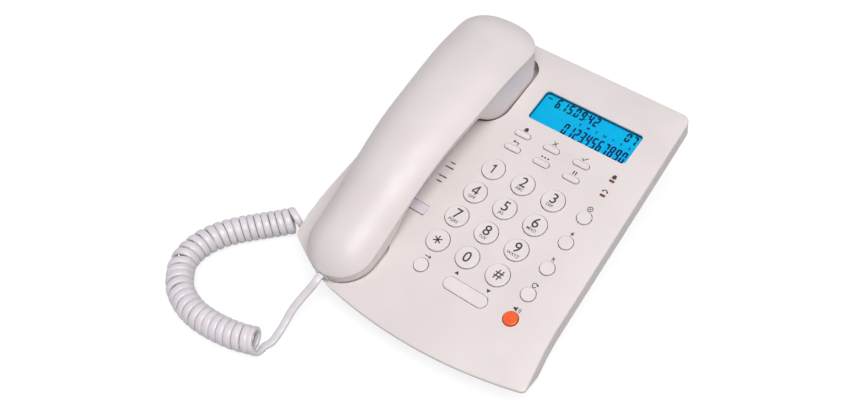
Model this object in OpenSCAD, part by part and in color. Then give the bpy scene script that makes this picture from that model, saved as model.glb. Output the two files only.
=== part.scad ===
// Corded desk telephone with a caller display.
// Z is up, the front is -Y, and the origin is on the table under the middle of the base.
// "Face" modules draw in the frame of the sloping face: its origin is the centre of the
// keypad, in the plane of the face, with Y up the slope and Z out of the face.

/* [Base] */
// Width of the base, at the front corners
body_w = 169; // [160:1:185]
// Length of the sloping face, front edge to back edge
body_d = 196; // [188:1:215]
// Slope of the face
face_tilt = 14; // [10:0.5:18]
// Height of the face's front edge above the table
front_h = 20.6; // [19:0.2:26]
// Height of the upper housing's side wall
side_h = 11; // [10:0.5:14]
// Wall of both housings
wall = 2.2; // [1.8:0.1:2.6]
// How far the front wall runs back under its lip
undercut = 11.6; // [8:0.2:13]
// Rounding along the edge of the face
edge_r = 1; // [0.8:0.1:1.8]
// Lean of the lower housing's right wall, in mm per mm of height
draft = 0.38; // [0.2:0.01:0.4]
// Fall of the cradle's flank, in degrees
flank_angle = 9.6; // [6:0.2:11]
// Height of the rubber feet
foot_h = 2; // [1.5:0.5:3]

/* [Keys] */
// Keypad pitch across
pitch_x = 20; // [19:0.1:21]
// Keypad pitch along the face
pitch_y = 17.7; // [17:0.1:19]
// Distance from the keypad's centre to the middle of the base
pad_x = 15.6; // [14:0.2:17]
// Distance from the front edge to the keypad's centre
pad_y = 84.5; // [82:0.5:88]
// Diameter of a digit key
key_d = 13.3; // [11:0.1:14]
// Diameter of a function key
small_key_d = 8.1; // [7:0.1:9]
// How far a key stands above the face
key_proud = 1.1; // [0.8:0.1:2.5]
// Travel of a key
key_travel = 1.2; // [0.8:0.1:1.4]
// Gap round a key
key_gap = 0.45; // [0.25:0.05:0.5]
// Length of a menu key
menu_key_l = 9.9; // [8:0.1:11]
// Width of a menu key
menu_key_w = 3.4; // [2.8:0.1:4]
// Length of the volume rocker
rocker_l = 27.5; // [24:0.5:32]
// Width of the volume rocker
rocker_w = 7.6; // [7:0.1:9]

/* [Display] */
// Width of the display opening
lcd_w = 64.4; // [56:0.2:66]
// Height of the display opening
lcd_h = 21.6; // [18:0.2:23]
// Depth of the window below the face
lcd_depth = 1; // [0.6:0.1:1.5]

/* [Handset] */
// Length of the handset
handset_l = 184.5; // [180:0.5:190]
// Width of the handset at the ear end
handset_w = 50; // [46:0.5:51]
// Radius of the mouth end
mouth_r = 20.8; // [19:0.1:21]
// Height of the upper shell's crown over its rim, at the grip
crown_h = 9.5; // [8:0.5:12]
// Wall of the handset's shells
shell_t = 2; // [1.6:0.1:2.4]
// Diameter of the receiver capsule
receiver_d = 34; // [28:1:36]

/* [Cord] */
// Width of the flat cord
cord_w = 5.2; // [4.8:0.1:5.6]
// Thickness of the flat cord
cord_t = 2.7; // [2.4:0.1:3]
// Outer diameter of the coil
coil_d = 16; // [14:0.2:17]

/* [Hidden] */

$fn = 48;
// Overrun of a cut through its wall
eps = 0.01;
// Clearance between parts that only lie near each other
near = 0.3;

// --- Colours ---------------------------------------------------------------
shell_colour = "#E3DBDA";
cord_colour = "#E6E1E6";
dark_colour = "#3A3C40";
steel_colour = "#B9BCC0";
board_colour = "#2F6B45";
tint_colour = "#D6D2DC";
orange = "#F2591D";
red = "#8E1F26";
window_colour = "#BFD9E6";
lcd_colour = "#12B7E8";

// --- Plan of the face ------------------------------------------------------
front_y = -pad_y;
back_y = body_d - pad_y;
half_w = body_w / 2;
// Front edge: one shallow arc
front_r = 282;
front_apex_x = 4.6;
// Sides: a slight taper to the back, and a flare at the front right corner
taper = 0.05;
flare_y = -36;
flare_l = 15;
flare_r = 130;
// Left side: widest beside the handset's mouth end
widest_y = -38;
left_front_r = 98;
left_back_r = 400;
left_back_l = 20;
front_corner_r = 3;
back_corner_r = 6;
// Points along each side, the front edge and each corner
side_n = 16;
front_n = 20;
corner_n = 5;

function front_arc(x) = front_y + front_r - sqrt(pow(front_r, 2) - pow(x - front_apex_x, 2));
function flare(y) =
    y > flare_y ? 0
    : y > flare_y - flare_l ? pow(flare_y - y, 2) / (2 * flare_r)
    : pow(flare_l, 2) / (2 * flare_r) + (flare_y - flare_l - y) * flare_l / flare_r;
corner_y = front_arc(half_w);
right_back_x = half_w - flare(corner_y) - taper * (back_y - corner_y);
function right_x(y) = right_back_x + taper * (back_y - y) + flare(y);
function left_x(y) =
    y < widest_y ? -half_w + pow(y - widest_y, 2) / (2 * left_front_r)
    : y < widest_y + left_back_l ? -half_w + pow(y - widest_y, 2) / (2 * left_back_r)
    : -half_w + pow(left_back_l, 2) / (2 * left_back_r)
        + (y - widest_y - left_back_l) * left_back_l / left_back_r;

// --- Frame of the face -----------------------------------------------------
// The middle of the base's depth, from the front edge to the foot of the back skirt
face_y0 = -((front_y + back_y) * cos(face_tilt) + side_h * sin(face_tilt)) / 2;
face_z0 = front_h - front_y * sin(face_tilt);
function on_table(p) = [
    p.x,
    p.y * cos(face_tilt) - p.z * sin(face_tilt) + face_y0,
    p.y * sin(face_tilt) + p.z * cos(face_tilt) + face_z0
];
module on_face() {
    translate([0, face_y0, face_z0])
        rotate([face_tilt, 0, 0])
            children();
}
// Height above the table of the joint between the housings, at face position y
function joint_h(y) = on_table([0, y, -side_h]).z;

// --- Lofting ---------------------------------------------------------------
function bezier(a, b, c, t) = pow(1 - t, 2) * a + 2 * t * (1 - t) * b + t * t * c;
function corner(a, b, c) = [for (i = [0:corner_n]) bezier(a, b, c, i / corner_n)];
function lerp(a, b, t) = a + (b - a) * t;

// Closed outline of the base, anticlockwise: the front edge set back by set, and the
// right side, the left side and the back moved in. A lean adds to its side's inset for
// each mm from the joint down to the feet.
function plan(set, right_in, left_in, back_in, right_lean = 0, left_lean = 0) =
    let (
        yb = back_y - back_in,
        drop = function (y) joint_h(y) - foot_h,
        rx = function (y) right_x(y) - right_in - right_lean * drop(y),
        lx = function (y) left_x(y) + left_in + left_lean * drop(y),
        yr = front_arc(rx(corner_y + set)) + set,
        yl = front_arc(lx(corner_y + set)) + set,
        fr = front_corner_r,
        br = back_corner_r,
        xr = rx(yr),
        xl = lx(yl)
    )
    concat(
        corner([lx(yl + fr), yl + fr], [xl, yl], [xl + fr, front_arc(xl + fr) + set]),
        [for (i = [1:front_n - 1])
            let (x = lerp(xl + fr, xr - fr, i / front_n)) [x, front_arc(x) + set]],
        corner([xr - fr, front_arc(xr - fr) + set], [xr, yr], [rx(yr + fr), yr + fr]),
        [for (i = [1:side_n - 1]) let (y = lerp(yr + fr, yb - br, i / side_n)) [rx(y), y]],
        corner([rx(yb - br), yb - br], [rx(yb), yb], [rx(yb) - br, yb]),
        corner([lx(yb) + br, yb], [lx(yb), yb], [lx(yb - br), yb - br]),
        [for (i = [1:side_n - 1]) let (y = lerp(yb - br, yl + fr, i / side_n)) [lx(y), y]]
    );
function at_height(points, z) = [for (p = points) [p.x, p.y, z]];

// A closed solid through rings of points, anticlockwise seen from above, lowest first
module loft(rings) {
    n = len(rings[0]);
    last = len(rings) - 1;
    polyhedron(
        points = [for (ring = rings) each ring],
        faces = concat(
            [[for (i = [0:n - 1]) i]],
            [for (k = [0:last - 1]) for (i = [0:n - 1]) each [
                [k * n + i, (k + 1) * n + i, (k + 1) * n + (i + 1) % n],
                [k * n + i, (k + 1) * n + (i + 1) % n, k * n + (i + 1) % n]
            ]],
            [[for (i = [n - 1:-1:0]) last * n + i]]
        )
    );
}

// --- Shared shapes ---------------------------------------------------------
// Rectangle with round corners
module round_rect(size, r) {
    hull() {
        for (x = [-1, 1])
            for (y = [-1, 1])
                translate([x * (size.x / 2 - r), y * (size.y / 2 - r)])
                    circle(r);
    }
}
// Slot with round ends, drawn from its overall length and width
module slot(length, width) {
    union() {
        square([length - width, width], center = true);
        for (x = [-1, 1])
            translate([x * (length - width) / 2, 0])
                circle(d = width);
    }
}
// Block whose corners in plan are round
module round_block(size, r) {
    linear_extrude(size.z)
        round_rect([size.x, size.y], r);
}

// --- Roof of the base ------------------------------------------------------
// Section across the face: flat, then an arc into the straight flank
flank_x = 54.5 - half_w;
flank_r = 60;
flank_n = 8;
function roof_z(x) =
    let (
        arc_x = flank_x - flank_r * sin(flank_angle),
        arc_z = -flank_r * (1 - cos(flank_angle))
    )
    x >= flank_x ? 0
    : x >= arc_x ? -flank_r + sqrt(pow(flank_r, 2) - pow(flank_x - x, 2))
    : arc_z - (arc_x - x) * tan(flank_angle);
// Everything under the roof, lowered by drop
module under_roof(drop = 0) {
    far = body_w;
    deep = 60;
    points = concat(
        [[-far, -deep], [far, -deep], [far, -drop]],
        [for (i = [0:flank_n])
            let (a = flank_angle * i / flank_n)
            [flank_x - flank_r * sin(a), -flank_r * (1 - cos(a)) - drop]],
        [[-far, roof_z(-far) - drop]]
    );
    translate([0, 2 * body_d, 0])
        rotate([90, 0, 0])
            linear_extrude(4 * body_d)
                polygon(points);
}

// --- Handset form ----------------------------------------------------------
handset_x = 40.1 - half_w;
mouth_y = front_y + 5.9;
ear_y = mouth_y + handset_l;
mouth_c = mouth_y + mouth_r;
ear_round = 18;
ear_c = ear_y - ear_round;
ear_power = 2.4;
handset_half = handset_w / 2;

function smooth(t) = t <= 0 ? 0 : t >= 1 ? 1 : t * t * (3 - 2 * t);
// Passes smoothly through [y, value] pairs in rising y
function through(table, y, i = 0) =
    y <= table[0].x ? table[0].y
    : i >= len(table) - 1 ? table[len(table) - 1].y
    : y <= table[i + 1].x
        ? lerp(table[i].y, table[i + 1].y, smooth((y - table[i].x) / (table[i + 1].x - table[i].x)))
    : through(table, y, i + 1);

// Half width in plan, set in from the outline: a round mouth end, straight sides, a squarer
// ear end
function half_width(y, set = 0) =
    y < mouth_c ? sqrt(max(0, pow(mouth_r - set, 2) - pow(y - mouth_c, 2)))
    : y > ear_c
        ? (handset_half - set)
            * pow(max(0, 1 - pow((y - ear_c) / (ear_round - set), ear_power)), 1 / ear_power)
    : lerp(mouth_r, handset_half, smooth((y - mouth_c) / (ear_c - mouth_c))) - set;
// Height of the seam between the shells: low at the mouth, arched over the grip
seam_mouth = 6.5;
seam_grip = 24.5;
seam_ear = 19.5;
mouth_bend = 100;
ear_bend = 46;
function seam(y) =
    let (
        m = (y - mouth_y) / mouth_bend,
        e = (ear_y - y) / ear_bend
    )
    seam_mouth + (seam_grip - seam_mouth) * smooth(m) - (seam_grip - seam_ear) * (1 - smooth(e));
// Crown of the upper shell over the seam: a low upright rim, and an arch over it
mouth_crown = 12.1;
rim_h = 1.2;
arch_power = 2.6;
function arch(t) = 1 - pow(min(1, abs(t)), arch_power);
function crown(y) =
    let (
        body = lerp(mouth_crown, crown_h, smooth((y - mouth_y) / mouth_bend)),
        m = min(1, (y - mouth_y) / (1.15 * mouth_r)),
        e = min(1, (ear_y - y) / ear_round)
    )
    rim_h + (body - rim_h) * arch(1 - m) * arch(1 - e);
// Underside: mouth pod, grip arch, ear pod
pod_mouth_z = -2.3;
pod_ear_z = -10.5;
grip_z = 12.5;
ear_end_z = 3;
belly = [
    [mouth_y, pod_mouth_z + 1.6], [mouth_y + 3, pod_mouth_z], [mouth_y + 26, pod_mouth_z],
    [mouth_y + 72, grip_z], [ear_y - 66.5, grip_z - 1], [ear_y - 45.5, pod_ear_z],
    [ear_y - 11, pod_ear_z], [ear_y - 4, ear_end_z], [ear_y, seam_ear - 3]
];
function belly_z(y) = through(belly, y);
// Squareness of the lower shell's section: square at the pods, round at the grip
square_pod = 6.5;
square_grip = 2.4;
squareness = [
    [mouth_y + 26, square_pod], [mouth_y + 62, square_grip], [ear_y - 66.5, square_grip],
    [ear_y - 53.5, square_grip + 0.9], [ear_y - 39.5, square_pod], [ear_y - 18, square_pod],
    [ear_y - 11, square_grip + 0.5], [ear_y, square_grip + 0.2]
];
// Stations along the handset, closer together at both ends
station_n = 50;
tip = 0.1;
function station(i, n, ends) =
    let (
        s = (1 - cos(180 * i / n)) / 2,
        u = lerp(s, i / n, 0.45)
    )
    lerp(mouth_y + ends, ear_y - ends, u);

// Half rings across the handset at y, above and below the seam, set in by cut. Their ends go
// past the seam by over, so that a hollow breaks through it.
ring_n = 20;
function upper_ring(y, cut = 0, over = 0, n = ring_n) =
    let (
        w = max(0.3, half_width(y, cut)),
        z0 = seam(y),
        rim = cut > 0 ? rim_h / 2 : rim_h,
        rise = max(near / 4, crown(y) - cut - rim)
    )
    concat(
        [[handset_x + w, y, z0 - over]],
        [for (i = [0:n])
            let (u = cos(180 * i / n)) [handset_x + w * u, y, z0 + rim + rise * arch(u)]],
        [[handset_x - w, y, z0 - over]]
    );
lower_inset = 0.7;
function lower_ring(y, cut = 0, over = 0, n = ring_n) =
    let (
        w = max(0.3, half_width(y, lower_inset + cut)),
        z0 = seam(y),
        depth = max(0.3, z0 - belly_z(y) - cut),
        power = through(squareness, y)
    )
    concat(
        over > 0 ? [[handset_x - w, y, z0 + over]] : [],
        [for (i = [0:n])
            let (a = 180 * i / n)
            [
                handset_x - w * sign(cos(a)) * pow(abs(cos(a)), 2 / power),
                y,
                z0 - depth * pow(sin(a), 2 / power)
            ]],
        over > 0 ? [[handset_x + w, y, z0 + over]] : []
    );
// A closed solid through half rings, clockwise seen from the ear end, mouth end first
module handset_loft(rings) {
    n = len(rings[0]);
    last = len(rings) - 1;
    polyhedron(
        points = [for (ring = rings) each ring],
        faces = concat(
            [[for (i = [n - 1:-1:0]) i]],
            [for (k = [0:last - 1]) for (i = [0:n - 1]) each [
                [k * n + i, k * n + (i + 1) % n, (k + 1) * n + (i + 1) % n],
                [k * n + i, (k + 1) * n + (i + 1) % n, (k + 1) * n + i]
            ]],
            [[for (i = [0:n - 1]) last * n + i]]
        )
    );
}

// --- Keys ------------------------------------------------------------------
flange_t = 1;
// A flange reaches past its hole by a share of the web between two keys
key_web = pitch_y - key_d - 2 * key_gap;
flange_w = key_gap + key_web * 3 / 16;
stem_l = 0.7;
key_edge = 0.5;
flange_z = -wall - near;
stem_z = flange_z - flange_t - stem_l;
mat_t = 1.2;
mat_z = stem_z - key_travel - near - mat_t;
board_t = 1.6;
board_z = mat_z - board_t;

// Position on the keypad's grid, in columns and rows from its centre
function grid(col, row) = [pad_x + col * pitch_x, row * pitch_y];
digit_places = [for (row = [1.5:-1:-1.5]) for (col = [-1:1]) grid(col, row)];
// Function keys: a column at the right a little more open than the digits, and a front row
small_pitch = pitch_y + 0.2;
front_row_y = 0.75 - 2.5 * pitch_y;
small_places = concat(
    [for (i = [0:3]) [pad_x + 2 * pitch_x, 1.5 * pitch_y - i * small_pitch]],
    [[pad_x - pitch_x + 0.9, front_row_y], [pad_x + 2 * pitch_x, front_row_y]]
);
menu_cols = [-18.9, 0.6, 20.3];
menu_rows = [54.2, 43.7];
menu_places = [for (y = menu_rows) for (x = menu_cols) [pad_x + x, y]];
menu_proud = 0.9;
top_step = 0.4;

// Turned key: a cap with a round edge, a flange under the face and a stem
module round_key(place, d = key_d) {
    r = d / 2;
    on_face()
        translate([place.x, place.y, 0])
            rotate_extrude()
                union() {
                    translate([0, stem_z])
                        square([r, key_proud - key_edge - stem_z]);
                    square([r - key_edge, key_proud]);
                    translate([r - key_edge, key_proud - key_edge])
                        circle(key_edge);
                    translate([0, flange_z - flange_t])
                        square([r + flange_w, flange_t]);
                }
}
// Body of a key with straight sides and round ends, stepped round its top
module slot_block(length, width, low, high) {
    translate([0, 0, low])
        linear_extrude(high - top_step - low)
            slot(length, width);
    translate([0, 0, high - top_step - eps])
        linear_extrude(top_step + eps)
            slot(length - 2 * top_step, width - 2 * top_step);
}
module menu_key(place) {
    on_face()
        translate([place.x, place.y, 0]) {
            slot_block(menu_key_l, menu_key_w, stem_z, menu_proud);
            translate([0, 0, flange_z - flange_t])
                linear_extrude(flange_t)
                    slot(menu_key_l + 2 * flange_w, menu_key_w + 2 * flange_w);
        }
}
module key_1() {
    color(shell_colour)
        round_key(digit_places[0]);
}
module key_2() {
    color(shell_colour)
        round_key(digit_places[1]);
}
module key_3() {
    color(shell_colour)
        round_key(digit_places[2]);
}
module key_4() {
    color(shell_colour)
        round_key(digit_places[3]);
}
module key_5() {
    color(shell_colour)
        round_key(digit_places[4]);
}
module key_6() {
    color(shell_colour)
        round_key(digit_places[5]);
}
module key_7() {
    color(shell_colour)
        round_key(digit_places[6]);
}
module key_8() {
    color(shell_colour)
        round_key(digit_places[7]);
}
module key_9() {
    color(shell_colour)
        round_key(digit_places[8]);
}
module key_star() {
    color(shell_colour)
        round_key(digit_places[9]);
}
module key_0() {
    color(shell_colour)
        round_key(digit_places[10]);
}
module key_hash() {
    color(shell_colour)
        round_key(digit_places[11]);
}
module hold_key() {
    color(shell_colour)
        round_key(small_places[0], small_key_d);
}
module auto_key() {
    color(shell_colour)
        round_key(small_places[1], small_key_d);
}
module flash_key() {
    color(shell_colour)
        round_key(small_places[2], small_key_d);
}
module redial_key() {
    color(shell_colour)
        round_key(small_places[3], small_key_d);
}
module out_key() {
    color(shell_colour)
        round_key(small_places[4], small_key_d);
}
module speaker_key() {
    color(orange)
        round_key(small_places[5], small_key_d);
}
module alarm_key() {
    color(shell_colour)
        menu_key(menu_places[0]);
}
module delete_key() {
    color(shell_colour)
        menu_key(menu_places[1]);
}
module set_key() {
    color(shell_colour)
        menu_key(menu_places[2]);
}
module recall_key() {
    color(shell_colour)
        menu_key(menu_places[3]);
}
module memory_key() {
    color(shell_colour)
        menu_key(menu_places[4]);
}
module pause_key() {
    color(shell_colour)
        menu_key(menu_places[5]);
}

// Rocker on a pin along the face's Y
pin_r = 1;
pin_out = 1.6;
pin_fit = 0.06;
rocker_place = [pad_x + 11, front_row_y - 0.35];
rocker_pin_z = -3.6;
rocker_top = 0.7;
rocker_slack = 0.35;
lug_w = 4;
module pin_along_y(length, r) {
    rotate([90, 0, 0])
        cylinder(h = length, r = r, center = true);
}
module volume_rocker() {
    hollow = [rocker_l / 3.2, rocker_w - 3, 2];
    color(shell_colour)
        on_face()
            translate([rocker_place.x, rocker_place.y, 0])
                difference() {
                    union() {
                        slot_block(rocker_l, rocker_w, -wall, rocker_top);
                        translate([-lug_w / 2, -rocker_w / 2, rocker_pin_z - pin_r])
                            cube([lug_w, rocker_w, pin_r - rocker_pin_z - wall + eps]);
                        translate([0, 0, rocker_pin_z])
                            pin_along_y(rocker_w + 2 * pin_out, pin_r);
                    }
                    // Hollow under each end
                    for (x = [-1, 1])
                        translate([x * rocker_l / 3.6 - hollow.x / 2, -hollow.y / 2, -wall - eps])
                            cube(hollow);
                }
}

// --- Indicators ------------------------------------------------------------
led_size = [3, 1.3];
led_proud = 0.15;
led_places = [[55.9, 53.7], [56.4, 43.5]];
led_fit = 0.1;
module led(place) {
    on_face()
        translate([place.x - led_size.x / 2, place.y - led_size.y / 2, board_z + board_t])
            cube([led_size.x, led_size.y, led_proud - board_z - board_t]);
}
module ring_led() {
    color(red)
        led(led_places[0]);
}
module line_led() {
    color(red)
        led(led_places[1]);
}

// --- Display ---------------------------------------------------------------
lcd_place = [pad_x + 8.2, 76.8];
lcd_r = 2.4;
lcd_fit = 0.15;
lens_t = 1.2;
lens_edge = 1.8;
panel_t = 1.3;
panel_edge = 1;
lamp_w = 3;
light_t = -wall - lens_t - panel_t - board_z - board_t;
module at_display(z) {
    on_face()
        translate([lcd_place.x, lcd_place.y, z])
            children();
}
// Window: a plate under the face, raised inside the opening
module lcd_window() {
    color(window_colour, 0.35)
        at_display(-wall - lens_t)
            union() {
                round_block([lcd_w + 2 * lens_edge, lcd_h + 2 * lens_edge, lens_t], lcd_r);
                round_block(
                    [lcd_w - 2 * lcd_fit, lcd_h - 2 * lcd_fit, lens_t + wall - lcd_depth],
                    lcd_r - lcd_fit
                );
            }
}
module lcd_panel() {
    color(lcd_colour)
        at_display(-wall - lens_t - panel_t)
            translate([-lcd_w / 2 - panel_edge, -lcd_h / 2 - panel_edge, 0])
                cube([lcd_w + 2 * panel_edge, lcd_h + 2 * panel_edge, panel_t]);
}
// Light guide on the board, with its lamp bar along the right end
module lcd_backlight() {
    color("white")
        at_display(board_z + board_t)
            union() {
                translate([-lcd_w / 2 - panel_edge, -lcd_h / 2 - panel_edge, 0])
                    cube([lcd_w + 2 * panel_edge, lcd_h + 2 * panel_edge, light_t]);
                translate([lcd_w / 2 + panel_edge - eps, -lcd_h / 2, 0])
                    cube([lamp_w, lcd_h, light_t]);
            }
}

// --- Board and keypad mat ---------------------------------------------------
mat_low = [pad_x - 28.2, -50.6];
mat_high = [pad_x + 45.8, 59.8];
board_low = [pad_x - 28.6, -51.4];
board_high = [pad_x + 47.4, 91];
standoff_r = 1.6;
stake_r = 0.8;
stake_fit = 0.1;
standoff_places = [
    [board_low.x + 2.2, board_low.y + 1.9], [board_high.x - 2, board_low.y + 1.9],
    [board_low.x + 2.2, 62], [board_high.x - 2, 62]
];
module keypad_mat() {
    color("#D9D4CE")
        on_face()
            difference() {
                translate([mat_low.x, mat_low.y, mat_z])
                    cube([mat_high.x - mat_low.x, mat_high.y - mat_low.y, mat_t]);
                // Corners cut out round the lower standoffs
                for (x = [mat_low.x - 1, mat_high.x - 3.8])
                    translate([x, mat_low.y - 1, mat_z - eps])
                        cube([4.8, 4.2, 2 * mat_t]);
                for (p = led_places)
                    translate([p.x - led_size.x / 2 - near, p.y - led_size.y / 2 - near, mat_z - eps])
                        cube([led_size.x + 2 * near, led_size.y + 2 * near, 2 * mat_t]);
            }
}
// Board with its larger parts on the underside
chip = [16, 16, 1.6];
capacitor_r = 4;
capacitor_h = 11;
module main_board() {
    color(board_colour)
        on_face()
            difference() {
                union() {
                    translate([board_low.x, board_low.y, board_z])
                        cube([board_high.x - board_low.x, board_high.y - board_low.y, board_t]);
                    for (y = [-10, 34])
                        translate([pad_x - chip.x / 2, y, board_z - chip.z])
                            cube([chip.x, chip.y, chip.z + eps]);
                    for (x = [22, 34])
                        translate([pad_x + x, 72, board_z - capacitor_h])
                            cylinder(h = capacitor_h + eps, r = capacitor_r);
                }
                for (p = standoff_places)
                    translate([p.x, p.y, board_z - eps])
                        cylinder(h = 2 * board_t, r = stake_r + stake_fit);
            }
}

// --- Cradle -----------------------------------------------------------------
pocket_gap = 0.5;
pocket_front = ear_y - 57.1;
pocket_back = ear_y - 3.9;
pocket_front_r = 16;
pocket_back_r = 10;
pocket_z = pod_ear_z - 0.7;
rest_gap = 0.5;
rest_z = pod_mouth_z - 0.4;
rest_back = -40.5;
rest_r = 8;
notch_w = cord_w + 1.6;
notch_z = -2.4;
cord_exit_x = handset_x - 1;
// Outline of the hollow that the mouth end lies in, widened by grow
module rest_plan(grow = 0) {
    r = mouth_r - lower_inset + rest_gap + grow;
    translate([handset_x, mouth_c])
        circle(r);
    translate([handset_x - r, mouth_c])
        square([2 * r, rest_back - rest_r - mouth_c]);
    translate([handset_x - r + rest_r, mouth_c])
        square([2 * (r - rest_r), rest_back + grow - mouth_c]);
    for (x = [-1, 1])
        translate([handset_x + x * (r - rest_r), rest_back + grow - rest_r])
            circle(rest_r);
}
// Outline of the pocket for the ear end, rounder at its front corners
module pocket_plan(grow = 0) {
    w = handset_half - lower_inset + pocket_gap;
    hull()
        for (side = [-1, 1]) {
            translate([handset_x + side * (w - pocket_front_r), pocket_front + pocket_front_r])
                circle(pocket_front_r + grow);
            translate([handset_x + side * (w - pocket_back_r), pocket_back - pocket_back_r])
                circle(pocket_back_r + grow);
        }
}

// --- Loudspeaker ------------------------------------------------------------
speaker_place = [handset_x + 4.1, mouth_y + 90];
speaker_r = 18;
speaker_h = 8;
speaker_z = -7.2;
speaker_fit = 0.15;
collar_t = 1.6;
seat_w = 1.2;
slit_w = 0.95;
slit_rows = [3.3, 6.8];
slit_mid_l = 14;
slit_side_l = [6.1, 3.8];
slit_side_x = 13.3;
magnet_r = 8;
// Slits in four rows: a long one in the middle of each, and a short one at each side
module sound_slits() {
    for (side = [-1, 1])
        for (i = [0:len(slit_rows) - 1])
            translate([speaker_place.x, speaker_place.y + side * slit_rows[i]]) {
                slot(slit_mid_l, slit_w);
                for (x = [-slit_side_x, slit_side_x])
                    translate([x, 0])
                        slot(slit_side_l[i], slit_w);
            }
}
// Basket with a cone behind its rim, and the magnet under it
module loudspeaker() {
    rim_t = 1.4;
    cone_h = 3.4;
    color(dark_colour)
        on_face()
            translate([speaker_place.x, speaker_place.y, speaker_z - speaker_h])
                difference() {
                    union() {
                        translate([0, 0, speaker_h - rim_t])
                            cylinder(h = rim_t, r = speaker_r);
                        translate([0, 0, 2])
                            cylinder(h = speaker_h - rim_t - 2 + eps, r1 = magnet_r + 2, r2 = speaker_r - 2);
                        cylinder(h = 2 + eps, r = magnet_r);
                    }
                    translate([0, 0, speaker_h - cone_h])
                        cylinder(h = cone_h + eps, r1 = 4, r2 = speaker_r - seat_w - 1);
                }
}

// --- Hook lever and its switch ----------------------------------------------
lever_x = [handset_x - 5.6, handset_x + 23];
lever_y = [mouth_y + 60.4, mouth_y + 66.7];
lever_t = 2.2;
lever_sink = 9;
lever_axis = [lever_y[0] + 1, -2];
lever_gap = 0.35;
nose = [7, 3.4, 10.6];
finger = [4, 2, 3.3];
finger_x = handset_x + 13.4;
switch_size = [13, 6, 6.5];
switch_low = [handset_x + 8.9, lever_y[0] + 1.2, -13.7];
button_h = 0.7;
clip_t = 1.2;
module hook_lever() {
    color(tint_colour)
        on_face()
            translate([0, lever_axis.x, lever_axis.y])
                rotate([-lever_sink, 0, 0])
                    translate([0, -lever_axis.x, -lever_axis.y])
                        union() {
                            translate([lever_x[0], lever_y[0], -lever_t])
                                cube([lever_x[1] - lever_x[0], lever_y[1] - lever_y[0], lever_t]);
                            translate([handset_x - nose.x / 2, lever_y[0] + 1.6, -eps])
                                cube(nose);
                            translate([finger_x, lever_y[1] - 0.5 - finger.y, -lever_t - finger.z])
                                cube([finger.x, finger.y, finger.z + eps]);
                            translate([(lever_x[0] + lever_x[1]) / 2, lever_axis.x, lever_axis.y])
                                rotate([0, 90, 0])
                                    cylinder(
                                        h = lever_x[1] - lever_x[0] + 2 * pin_out, r = pin_r,
                                        center = true
                                    );
                        }
}
module hook_switch() {
    color(dark_colour)
        on_face()
            union() {
                translate(switch_low)
                    cube(switch_size);
                translate([finger_x, lever_y[1] - 0.5 - finger.y, switch_low.z + switch_size.z - eps])
                    cube([finger.x, finger.y, button_h + eps]);
            }
}

// --- Screw posts ------------------------------------------------------------
// In the plane of the joint between the housings, on the face's X and Y
post_places = [
    [pad_x - 33.1, front_y + 27.5], [pad_x + 28.4, front_y + 27.5],
    [pad_x - 23.6, back_y - 13.5], [pad_x + 8.4, back_y - 13.5]
];
top_post_r = 3.8;
low_post_r = 4.8;
screw_r = 1.5;
screw_fit = 0.2;
head_r = 3;
head_h = 2.2;
seat_t = 2.5;
bite = 6;
function post_joint(p) = on_table([p.x, p.y, -side_h]);
module at_posts(z) {
    for (p = post_places)
        translate(post_joint(p) + [0, 0, z])
            children();
}
module housing_screws() {
    color(steel_colour)
        at_posts(-seat_t)
            difference() {
                union() {
                    translate([0, 0, -head_h])
                        cylinder(h = head_h, r = head_r);
                    translate([0, 0, -head_h / 2])
                        cylinder(h = head_h / 2 + seat_t + bite - 0.5, r = screw_r);
                }
                translate([0, 0, -head_h - eps])
                    cylinder(h = 1.2, r = 1.3, $fn = 6);
            }
}

// --- Upper housing ----------------------------------------------------------
lip_h = 2;
front_t = 1.4 * wall;
collar_h = 3;
function front_set(z) = undercut * max(0, -z - lip_h) / (side_h - lip_h);
function top_ring(z, cut = 0) = at_height(plan(front_set(z) + cut, cut, cut, cut), z);
function hollow_ring(z) = at_height(plan(front_set(z) + front_t, wall, wall, wall), z);
module base_skin() {
    intersection() {
        loft(concat(
            [top_ring(-side_h), top_ring(-lip_h)],
            [for (a = [0:30:90])
                top_ring(edge_r * (sin(a) - 1), edge_r * (1 - cos(a)))]
        ));
        under_roof();
    }
}
module base_hollow() {
    intersection() {
        loft([hollow_ring(-side_h - 1), hollow_ring(-wall)]);
        under_roof(wall);
    }
}
// What stands inside the hollow, in the frame of the face
module top_inside() {
    // Floor under the mouth end
    translate([0, 0, rest_z - wall])
        linear_extrude(side_h)
            rest_plan(wall);
    // Collar round the loudspeaker
    translate([speaker_place.x, speaker_place.y, speaker_z - collar_h])
        difference() {
            cylinder(h = side_h + collar_h, r = speaker_r + speaker_fit + collar_t);
            translate([0, 0, -eps])
                cylinder(h = collar_h + eps, r = speaker_r + speaker_fit);
            translate([0, 0, -eps])
                cylinder(h = 2 * side_h, r = speaker_r - seat_w);
        }
    // Bearings of the hook lever
    for (x = lever_x)
        translate([x - pin_out - 1.5, lever_axis.x - 2.2, lever_axis.y - 2.2])
            cube([2 * pin_out + 3, 4.4, side_h]);
    // Clips of the hook switch
    for (x = [switch_low.x - clip_t, switch_low.x + switch_size.x])
        translate([x, switch_low.y, switch_low.z])
            cube([clip_t, switch_size.y, side_h + 2]);
    // Bearings of the rocker
    for (y = [-1, 1])
        translate([
            rocker_place.x - 2.5,
            rocker_place.y + y * (rocker_w / 2 + rocker_slack + 1.2) - 1.2,
            rocker_pin_z - 1.8
        ])
            cube([5, 2.4, side_h]);
    // Standoffs of the board
    for (p = standoff_places)
        translate([p.x, p.y, board_z + board_t])
            cylinder(h = side_h, r = standoff_r);
    for (p = standoff_places)
        translate([p.x, p.y, board_z - 0.4])
            cylinder(h = side_h, r = stake_r);
}
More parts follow.
